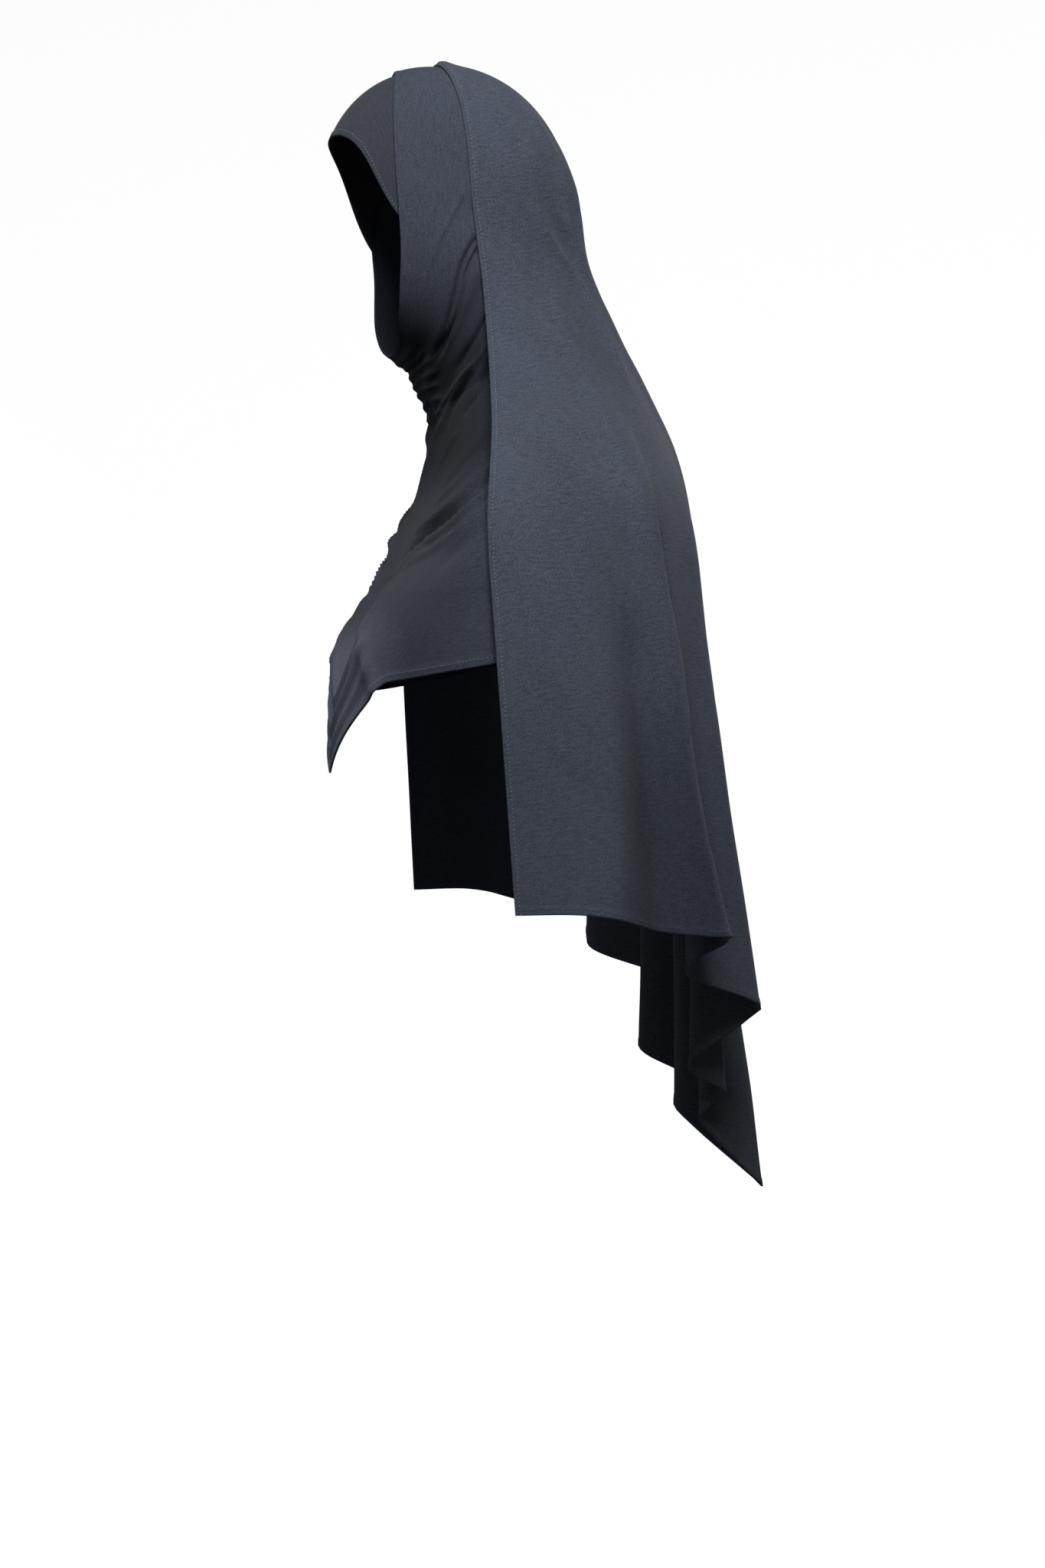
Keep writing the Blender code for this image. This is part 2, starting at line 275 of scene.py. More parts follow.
@dataclass
class ClothGrid:
    """A sheet of cloth as rows and columns of places.

    Attributes:
        u: the share across the sheet at each place.
        v: the share along the sheet at each place.
        points: the places, as rows by columns by 3.
        outward: 1 where the cross product of the columns and rows points outward, or -1.
    """

    u: np.ndarray
    v: np.ndarray
    points: np.ndarray
    outward: float

    def normals(self) -> np.ndarray:
        """The outward direction at each place."""
        across = np.gradient(self.points, axis=1)
        along = np.gradient(self.points, axis=0)
        normals = np.cross(across, along) * self.outward
        return normals / np.maximum(np.linalg.norm(normals, axis=2), 1e-12)[..., None]

    def lift(self, height: np.ndarray) -> None:
        """Moves each place outward by its height."""
        self.points += self.normals() * height[..., None]

    def soften(self, passes: int, share: np.ndarray | float = 1.0, rows_only: bool = False) -> None:
        """Evens the cloth out, with its edges held.

        Args:
            passes: how often each place moves towards the middle of its neighbours.
            share: how much of each move is made, at each place.
            rows_only: whether only the neighbours along the sheet count.
        """
        weight = np.broadcast_to(share, self.u.shape)[1:-1, 1:-1, None] * 0.5
        for _ in range(passes):
            p = self.points
            middle = (p[:-2, 1:-1] + p[2:, 1:-1]) / 2
            if not rows_only:
                middle = middle / 2 + (p[1:-1, :-2] + p[1:-1, 2:]) / 4
            p[1:-1, 1:-1] += (middle - p[1:-1, 1:-1]) * weight

    def place_at(self, side: float, along: float, side_of: Callable) -> np.ndarray:
        """The place on the wearer's left half at a side share and an along share."""
        gap = np.abs(side_of(self.u) - side) + np.abs(self.v - along)
        gap = gap + np.where(self.points[..., 0] < -1e-6, 10.0, 0.0)
        row, col = np.unravel_index(np.argmin(gap), gap.shape)
        return self.points[row, col]

    def crease_height(self, crease: Crease, side_of: Callable) -> np.ndarray:
        """How far one crease and its twin on the other half lift the cloth at each place.

        Args:
            crease: the fold.
            side_of: turns a share across the sheet into a side share.

        Returns:
            The height at each place, below 0 where it is a valley.
        """
        knots = np.array([self.place_at(side, along, side_of) for side, along in crease.path])
        run = lengths_along(knots)
        fine = np.linspace(0.0, run[-1], PATH_STEPS)
        line = np.stack([along_curve(run, knots[:, k], fine) for k in range(3)], 1)
        flat = self.points.reshape(-1, 3).copy()
        other_half = flat[:, 0] < 0
        flat[:, 0] = np.abs(flat[:, 0])
        reach = CREASE_REACH * crease.width
        near = (flat > line.min(0) - reach).all(1) & (flat < line.max(0) + reach).all(1)
        height = np.zeros(len(flat))
        if not near.any():
            return height.reshape(self.u.shape)
        start, step = line[:-1], np.diff(line, axis=0)
        away = flat[near][:, None, :] - start[None]
        t = np.clip((away * step).sum(2) / (step**2).sum(1), 0.0, 1.0)
        offset = away - t[..., None] * step[None]
        gap = np.linalg.norm(offset, axis=2)
        best = gap.argmin(1)
        rows = np.arange(len(best))
        share = (best + t[rows, best]) / len(step)
        width = np.full(len(best), crease.width)
        if crease.lean:
            normal = self.normals().reshape(-1, 3)[near]
            normal[other_half[near], 0] *= -1.0
            flank = (np.cross(step[best], normal) * offset[rows, best]).sum(1)
            flank /= np.linalg.norm(step[best], axis=1) * crease.width
            width *= 1.0 + crease.lean * np.tanh(3 * flank)
        profile = np.exp(-((gap[rows, best] / width) ** crease.keen))
        fade = smooth_step(share / max(crease.start_fade, 1e-6)) if crease.start_fade else 1.0
        if crease.end_fade:
            fade = fade * smooth_step((1.0 - share) / crease.end_fade)
        height[near] = profile * fade * crease.height * crease.way.value
        return height.reshape(self.u.shape)


# Finishes


@dataclass(frozen=True)
class JerseyFinish:
    """A matte, finely heathered jersey knit.

    Attributes:
        colour: the cloth's middle colour.
        heather: how far the yarns' colours differ from it.
        roughness: the shader's roughness.
        specular: the shader's specular level.
        sheen: how much light the fibres on the surface catch at a glance.
        sheen_roughness: how wide that light spreads.
        wale: the width of one column of knit loops, in metres.
        depth: how deep the knit's relief is, in metres.
    """

    colour: tuple[float, float, float]
    heather: float
    roughness: float = 0.88
    specular: float = 0.10
    sheen: float = 0.06
    sheen_roughness: float = 0.5
    wale: float = 0.0011
    depth: float = 0.00016


@dataclass(frozen=True)
class ThreadFinish:
    """Sewing thread, a little lighter or darker than the cloth, in uneven twisted yarn."""

    colour: tuple[float, float, float]
    roughness: float = 0.6
    sheen: float = 0.3
    twist: float = 2600.0
    shades: tuple[float, float] = (0.6, 1.4)
    depth: float = 0.0002


class YarnNoise(NamedTuple):
    """One kind of unevenness in the colour of the yarn.

    Attributes:
        across: how many of its grains there are in a metre across the cloth.
        along: how many there are in a metre along it.
        layer: which layer of the noise it reads.
        detail: the noise's detail.
        roughness: the noise's roughness.
        strength: how much it counts.
    """

    across: float
    along: float
    layer: float
    detail: float
    roughness: float
    strength: float


@dataclass(frozen=True)
class KnitPattern:
    """The pattern of the knit, in shares of a column of loops, and its heather.

    Attributes:
        slant: how far the legs of a loop lean.
        rows: how many rows of loops there are in the width of one column.
        shade: how much painted shade darkens the cloth between its loops.
        floor: the colour's share between the loops.
        fleck_height: how far the flecks stand out, in heights of a loop.
        fleck_gloss: how far the flecks change the roughness.
        flecks: short flecks of lighter and darker yarn.
        streaks: long streaks across the cloth.
        clouds: soft uneven dyeing.
    """

    slant: float = 1.6
    rows: float = 1.35
    shade: float = 0.25
    floor: float = 0.93
    fleck_height: float = 0.6
    fleck_gloss: float = 0.12
    flecks: YarnNoise = YarnNoise(620.0, 1150.0, 0.0, 2.0, 0.60, 2.4)
    streaks: YarnNoise = YarnNoise(110.0, 520.0, 3.0, 2.0, 0.50, 0.9)
    clouds: YarnNoise = YarnNoise(14.0, 9.0, 7.0, 3.0, 0.55, 0.5)


# The wrap and the cap are the shawl's jersey; their darker colours are painted shade.
SHAWL_JERSEY = JerseyFinish((0.0590, 0.0695, 0.0945), heather=0.90)
SHADED_WRAP_JERSEY = JerseyFinish((0.0470, 0.0545, 0.0760), heather=0.75, sheen=0.05)
SHADED_CAP_JERSEY = JerseyFinish((0.0390, 0.0435, 0.0585), heather=0.60)
# The light thread's colour is partly its own light yarn and partly a painted sheen.
LIGHT_THREAD_WITH_PAINTED_SHEEN = ThreadFinish((0.17, 0.19, 0.23))
DARK_THREAD = ThreadFinish((0.040, 0.045, 0.058))


class Nodes:
    """A short way to add and join the nodes of a tree."""

    def __init__(self, tree: bpy.types.NodeTree) -> None:
        """Keeps the tree."""
        self.tree = tree

    def add(self, kind: str, **values: object) -> bpy.types.Node:
        """Adds a node and sets its properties, or its inputs by their names.

        Args:
            kind: the node's type.
            values: what to set. A name that the node doesn't have as a property is an input's,
                with _ for a space, and a socket as the value is joined to it.

        Returns:
            The new node.
        """
        node = self.tree.nodes.new(kind)
        for name, value in values.items():
            if hasattr(node, name) and name not in ("inputs", "outputs"):
                setattr(node, name, value)
                continue
            socket = node.inputs[name.replace("_", " ")]
            self.give(socket, value)
        return node

    def give(self, socket: bpy.types.NodeSocket, value: object) -> None:
        """Joins a socket to the value, or sets the value on it."""
        if isinstance(value, bpy.types.NodeSocket):
            self.tree.links.new(value, socket)
        else:
            socket.default_value = value

    def feed(self, node: bpy.types.Node, values: dict[str, object]) -> None:
        """Joins or sets several of a node's inputs by their names."""
        for name, value in values.items():
            self.give(node.inputs[name], value)

    def maths(self, operation: str, first: object, second: object = 0.0) -> bpy.types.NodeSocket:
        """The result of one calculation with one or two values."""
        node = self.tree.nodes.new("ShaderNodeMath")
        node.operation = operation
        self.give(node.inputs[0], first)
        self.give(node.inputs[1], second)
        return node.outputs[0]

    def plus(self, first: object, second: object) -> bpy.types.NodeSocket:
        """The sum of two values."""
        return self.maths("ADD", first, second)

    def times(self, first: object, second: object) -> bpy.types.NodeSocket:
        """The product of two values."""
        return self.maths("MULTIPLY", first, second)

    def centred(self, value: object) -> bpy.types.NodeSocket:
        """A value from 0 to 1 moved to lie about 0."""
        return self.maths("SUBTRACT", value, 0.5)

    def from_middle(self, value: object) -> bpy.types.NodeSocket:
        """How far a value is from the middle of the whole step that it is in."""
        return self.maths("ABSOLUTE", self.centred(self.maths("FRACT", value)))

    def yarn(self, across: object, along: object, kind: YarnNoise) -> bpy.types.NodeSocket:
        """The noise of one kind of unevenness, from 0 to 1."""
        place = self.add(
            "ShaderNodeCombineXYZ",
            X=self.times(across, kind.across),
            Y=self.times(along, kind.along),
            Z=kind.layer,
        )
        grain = self.add(
            "ShaderNodeTexNoise",
            Vector=place.outputs[0],
            Scale=1.0,
            Detail=kind.detail,
            Roughness=kind.roughness,
        )
        return grain.outputs["Fac"]


def knit_group() -> bpy.types.NodeTree:
    """The jersey's knit, built once: its colour, its height and its roughness.

    Returns:
        The node group. It reads the piece's own cloth map, in metres across and along.
    """
    name = "jersey_knit"
    if name in bpy.data.node_groups:
        return bpy.data.node_groups[name]
    group = bpy.data.node_groups.new(name, "ShaderNodeTree")
    face = group.interface
    face.new_socket(name="Colour", in_out="INPUT", socket_type="NodeSocketColor")
    for label in ("Heather", "Roughness", "Wale", "Depth", "Tone"):
        face.new_socket(name=label, in_out="INPUT", socket_type="NodeSocketFloat")
    face.new_socket(name="Colour", in_out="OUTPUT", socket_type="NodeSocketColor")
    for label in ("Height", "Roughness"):
        face.new_socket(name=label, in_out="OUTPUT", socket_type="NodeSocketFloat")
    nodes = Nodes(group)
    pattern = KnitPattern()
    given = nodes.add("NodeGroupInput").outputs
    cloth_map = nodes.add("ShaderNodeUVMap", uv_map="cloth_map")
    apart = nodes.add("ShaderNodeSeparateXYZ", Vector=cloth_map.outputs[0])
    across, along = apart.outputs[0], apart.outputs[1]

    # The loops: columns of small V shapes, with each side of the V leaning the other way.
    leg = nodes.from_middle(nodes.maths("DIVIDE", across, given["Wale"]))
    slant = nodes.plus(nodes.maths("DIVIDE", along, given["Wale"]), nodes.times(leg, pattern.slant))
    row = nodes.from_middle(nodes.times(slant, pattern.rows))
    side = nodes.maths("SINE", nodes.times(leg, 2 * math.pi))
    loop = nodes.times(nodes.maths("SUBTRACT", 0.5, row), side)

    # The heather: long flecks of lighter and darker yarn, and soft uneven dyeing.
    kinds = (pattern.flecks, pattern.streaks, pattern.clouds)
    grains = [nodes.yarn(across, along, kind) for kind in kinds]
    fleck = grains[0]
    first, second, third = (
        nodes.times(nodes.centred(grain), kind.strength) for grain, kind in zip(grains, kinds)
    )
    mixed = nodes.plus(nodes.plus(first, second), third)
    factor = nodes.plus(1.0, nodes.times(mixed, given["Heather"]))
    # Painted shade: the cloth is darker between its loops, where the knit's relief is low.
    factor = nodes.times(factor, nodes.plus(pattern.floor, nodes.times(loop, pattern.shade)))
    # The piece's painted light and shade scales the colour.
    factor = nodes.times(factor, given["Tone"])
    tint = nodes.add("ShaderNodeVectorMath", operation="SCALE")
    nodes.give(tint.inputs[0], given["Colour"])
    nodes.give(tint.inputs["Scale"], factor)

    height = nodes.plus(loop, nodes.times(fleck, pattern.fleck_height))
    gloss = nodes.times(nodes.centred(fleck), pattern.fleck_gloss)
    nodes.feed(
        nodes.add("NodeGroupOutput"),
        {
            "Colour": tint.outputs[0],
            "Height": nodes.times(height, given["Depth"]),
            "Roughness": nodes.plus(given["Roughness"], gloss),
        },
    )
    return group


def new_material(name: str) -> tuple[bpy.types.Material, Nodes, bpy.types.Node]:
    """A new material, with its tree and its shader."""
    material = bpy.data.materials.new(name)
    material.use_nodes = True
    return material, Nodes(material.node_tree), material.node_tree.nodes["Principled BSDF"]


def jersey_material(name: str, finish: JerseyFinish) -> bpy.types.Material:
    """The material of one piece of jersey.

    Args:
        name: the material's name.
        finish: its values.

    Returns:
        The new material.
    """
    material, nodes, shader = new_material(name)
    # The piece's painted light and shade, from its attribute, scales the colour and the sheen.
    tone = nodes.add("ShaderNodeAttribute", attribute_name="cloth_tone").outputs["Fac"]
    knit = nodes.add("ShaderNodeGroup", node_tree=knit_group())
    nodes.feed(
        knit,
        {
            "Colour": (*finish.colour, 1.0),
            "Heather": finish.heather,
            "Roughness": finish.roughness,
            "Wale": finish.wale,
            "Depth": finish.depth,
            "Tone": tone,
        },
    )
    bump = nodes.add("ShaderNodeBump", Strength=1.0, Distance=1.0, Height=knit.outputs["Height"])
    nodes.feed(
        shader,
        {
            "Base Color": knit.outputs["Colour"],
            "Roughness": knit.outputs["Roughness"],
            "Normal": bump.outputs["Normal"],
            "Sheen Weight": nodes.times(tone, finish.sheen),
            "Sheen Roughness": finish.sheen_roughness,
            "Specular IOR Level": finish.specular,
        },
    )
    return material


def thread_material(name: str, finish: ThreadFinish) -> bpy.types.Material:
    """The material of a row of stitches: twisted thread with fine lighter fibres."""
    material, nodes, shader = new_material(name)
    place = nodes.add("ShaderNodeTexCoord").outputs["Object"]
    twist = nodes.add("ShaderNodeTexNoise", Vector=place, Scale=finish.twist, Detail=2.0).outputs["Fac"]
    colour = nodes.add("ShaderNodeMixRGB", Fac=twist)
    for socket, shade in zip(colour.inputs[1:], finish.shades):
        socket.default_value = (*[shade * part for part in finish.colour], 1.0)
    bump = nodes.add("ShaderNodeBump", Strength=0.6, Distance=finish.depth, Height=twist)
    nodes.feed(
        shader,
        {
            "Base Color": colour.outputs[0],
            "Normal": bump.outputs["Normal"],
            "Roughness": finish.roughness,
            "Sheen Weight": finish.sheen,
        },
    )
    return material


# Pieces


@dataclass(frozen=True)
class StitchRow:
    """A row of straight stitches beside an edge of the cloth.

    Attributes:
        name: the piece's name.
        inset: how far the row is from the edge.
        pitch: from the start of one stitch to the start of the next.
        length: how long each stitch is.
        thickness: the thread's thickness.
        search: how far off the cloth the search for its surface starts.
        rise: how far the thread's middle stands off the cloth, as a share of its thickness.
        shortest: the share of its length below which a stitch is left out.
        finish: the thread.
    """

    name: str
    inset: float
    pitch: float = 0.0031
    length: float = 0.0014
    thickness: float = 0.00065
    search: float = 0.004
    rise: float = 0.15
    shortest: float = 0.3
    finish: ThreadFinish = LIGHT_THREAD_WITH_PAINTED_SHEEN

    def sew(
        self, edge: np.ndarray, inward: np.ndarray, outward: np.ndarray, cloth: BVHTree
    ) -> bpy.types.Object:
        """Makes the stitches on the cloth beside an edge.

        Args:
            edge: the edge's points, in order.
            inward: the direction into the cloth at each point.
            outward: the direction off the cloth's outer face at each point.
            cloth: the finished cloth, to lie on.

        Returns:
            The piece, all its stitches in one mesh.
        """
        run = lengths_along(edge)
        count = int(run[-1] / self.pitch)
        shape = bmesh.new()
        for index in range(count):
            ends = []
            for at in (index * self.pitch, index * self.pitch + self.length):
                base, into, off = (
                    np.array([np.interp(at, run, line[:, k]) for k in range(3)])
                    for line in (edge, inward, outward)
                )
                into /= max(np.linalg.norm(into), 1e-9)
                ends.append(Vector(base + into * self.inset + off * self.search))
            hits = [cloth.find_nearest(end) for end in ends]
            if any(hit[0] is None for hit in hits):
                continue
            start, stop = (hit[0] + hit[1] * self.rise * self.thickness for hit in hits)
            ahead = stop - start
            if ahead.length < self.shortest * self.length:
                continue
            up = (hits[0][1] + hits[1][1]).normalized()
            ahead.normalize()
            beside = up.cross(ahead).normalized()
            up = ahead.cross(beside)
            turn = Matrix((beside, ahead, up)).transposed().to_4x4()
            turn.translation = (start + stop) / 2
            size = Matrix.Diagonal((self.thickness / 2, self.length / 2, self.thickness / 2, 1.0))
            bmesh.ops.create_icosphere(shape, subdivisions=1, radius=1.0, matrix=turn @ size)
        piece = new_piece(self.name, shape)
        piece.data.materials.append(thread_material(self.name, self.finish))
        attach(piece, "root")
        return piece


@dataclass
class ClothPiece:
    """One piece of cloth: its place on the body, its folds, its hems and its stitches."""

    name: str = ""
    node: str = ""
    slot: str = ""
    finish: JerseyFinish = SHAWL_JERSEY
    flat: tuple[float, float] = (1.0, 1.0)
    flat_area: float = 1.0
    rests_on: tuple[str, ...] = ()
    columns: int = 100
    rows: int = 100
    outward: float = 1.0
    body: BodyForm = BodyForm()
    gauge: ClothGauge = ClothGauge()
    hem_step: float = 0.0012
    stitch_inset: float = 0.0008
    weld: float = 0.00002

    def shares(self) -> tuple[np.ndarray, np.ndarray]:
        """The shares across and along the sheet where its columns and rows lie."""
        return np.linspace(0.0, 1.0, self.columns + 1), np.linspace(0.0, 1.0, self.rows + 1)

    def place(self, u: np.ndarray, v: np.ndarray) -> np.ndarray:
        """Where the sheet is at the shares u and v."""
        raise NotImplementedError

    def side_share(self, u: np.ndarray) -> np.ndarray:
        """The side share at a share across the sheet."""
        return u

    def shape_grid(self, grid: ClothGrid) -> None:
        """Adds the finer folds; a plain piece has none."""

    def hem_weight(self, grid: ClothGrid) -> np.ndarray:
        """1 on the hems, where the cloth is doubled, and 0 elsewhere."""
        return np.zeros(grid.u.shape)

    def tone(self, grid: ClothGrid) -> np.ndarray:
        """Painted light and shade: 1 where the cloth has its full colour, less where shade is painted on
        gathered or turned-away cloth, and more where light is painted in.
        """
        return np.ones(grid.u.shape)

    def lay_out(self) -> ClothGrid:
        """The sheet in its place with all its folds."""
        across, along = self.shares()
        u, v = np.meshgrid(across, along)
        points = self.place(u.ravel(), v.ravel()).reshape(*u.shape, 3)
        grid = ClothGrid(u, v, points, self.outward)
        self.shape_grid(grid)
        return grid

    def make(self) -> tuple[bpy.types.Object, ClothGrid]:
        """Makes the cloth's mesh, with its wall, and gives it its finish.

        Returns:
            The piece and the grid that it was made from.
        """
        grid = self.lay_out()
        hem = self.hem_weight(grid)
        shape = bmesh.new()
        bmesh.ops.create_grid(shape, x_segments=self.columns, y_segments=self.rows, size=0.5)
        shape.verts.ensure_lookup_table()
        cols = [round((vertex.co[0] + 0.5) * self.columns) for vertex in shape.verts]
        rows = [round((vertex.co[1] + 0.5) * self.rows) for vertex in shape.verts]
        across = lengths_along(grid.points.transpose(1, 0, 2)).T
        across = across - across[:, self.columns // 2][:, None]
        along = lengths_along(grid.points)
        layer = shape.loops.layers.uv.new("cloth_map")
        weights = shape.verts.layers.deform.verify()
        # Each place keeps its painted light and shade.
        painted_light_layer = shape.verts.layers.float.new("cloth_tone")
        tone = self.tone(grid)
        for vertex, row, col in zip(shape.verts, rows, cols):
            vertex.co = grid.points[row, col]
            vertex[weights][0] = float(hem[row, col])
            vertex[painted_light_layer] = float(tone[row, col])
        shape.verts.index_update()
        for face in shape.faces:
            for loop in face.loops:
                row, col = rows[loop.vert.index], cols[loop.vert.index]
                loop[layer].uv = (across[row, col], along[row, col])
        bmesh.ops.remove_doubles(shape, verts=shape.verts, dist=self.weld)
        if self.outward < 0:
            bmesh.ops.reverse_faces(shape, faces=shape.faces)
        piece = new_piece(self.name, shape)
        piece.vertex_groups.new(name="hem")
        wall = piece.modifiers.new("wall", "SOLIDIFY")
        wall.thickness = self.gauge.hem_wall
        wall.offset = 0.0
        wall.vertex_group = "hem"
        wall.thickness_vertex_group = self.gauge.shown_wall / self.gauge.hem_wall
        self.settle(piece)
        piece.data.materials.append(jersey_material(self.name, self.finish))
        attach(piece, "root")
        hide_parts(self.node)
        return piece, grid

    @staticmethod
    def settle(piece: bpy.types.Object) -> None:
        """Applies the piece's modifiers to its mesh."""
        bpy.context.view_layer.update()
        graph = bpy.context.evaluated_depsgraph_get()
        mesh = bpy.data.meshes.new_from_object(piece.evaluated_get(graph))
        mesh.name = piece.name
        piece.modifiers.clear()
        piece.vertex_groups.clear()
        piece.data = mesh

    def declare(self, piece: bpy.types.Object, stitches: Sequence[bpy.types.Object]) -> None:
        """Logs how many faces the piece has and how many rows of stitches are sewn on it."""
        log.info("%s: %d faces, %d rows of stitches", self.name, len(piece.data.polygons), len(stitches))

    @staticmethod
    def surface(piece: bpy.types.Object) -> BVHTree:
        """The finished cloth, for stitches to lie on."""
        return BVHTree.FromObject(piece, bpy.context.evaluated_depsgraph_get())


@dataclass
class UnderCap(ClothPiece):
    """The close cap over the brow and crown, with its face hem."""

    name: str = "cap_cloth"
    node: str = "under_cap"
    slot: str = "cap_jersey"
    finish: JerseyFinish = SHADED_CAP_JERSEY
    flat: tuple[float, float] = (0.25, 0.20)
    flat_area: float = 0.034
    columns: int = 150
    rows: int = 84
    brow_angle: float = 29.0
    temple_fall: float = 45.0
    temple_turn: float = 5.0
    rear_angle: float = 118.0
    side_angle: float = 62.0
    hem_width: float = 0.0054
    hem_step: float = 0.001
    border: float = 0.07
    border_rows: int = 12

    def shares(self) -> tuple[np.ndarray, np.ndarray]:
        """Rows lie closer together at the hems."""
        along = spread_shares(self.rows, self.border, self.border_rows)
        return np.linspace(0.0, 1.0, self.columns + 1), along

    def place(self, u: np.ndarray, v: np.ndarray) -> np.ndarray:
        """From one temple to the other, and from the face hem to the rear hem."""
        head = self.body.head
        side = 2.0 * u - 1.0
        hem = self.brow_angle - self.temple_fall * np.abs(side) ** self.temple_turn
        turn = np.radians(hem + (self.rear_angle - hem) * v)
        lean = np.radians(side * self.side_angle)
        out = np.stack((np.sin(lean), -np.cos(lean) * np.cos(turn), np.cos(lean) * np.sin(turn)), 1)
        offset = self.gauge.offset(0)
        return head.seat(head.centre() + out * head.half_sizes(offset), offset)

    def hem_weight(self, grid: ClothGrid) -> np.ndarray:
        """The face hem is doubled."""
        return 1.0 - Span(self.hem_width, self.hem_step).rise(lengths_along(grid.points))

    def build(self) -> bpy.types.Object:
        """Makes the cap and the stitches of its face hem."""
        piece, grid = self.make()
        edge, inside = grid.points[0], grid.points[6]
        row = StitchRow("cap_hem_stitches", self.hem_width - self.stitch_inset)
        stitches = row.sew(edge, inside - edge, grid.normals()[6], self.surface(piece))
        self.declare(piece, [stitches])
        return piece


class Loop(NamedTuple):
    """One loop of the wrap, as shares of the body's widths, depths and levels."""

    along: float
    back_y: float
    back_level: float
    side_x: float
    side_y: float
    side_level: float
    front_y: float
    front_level: float


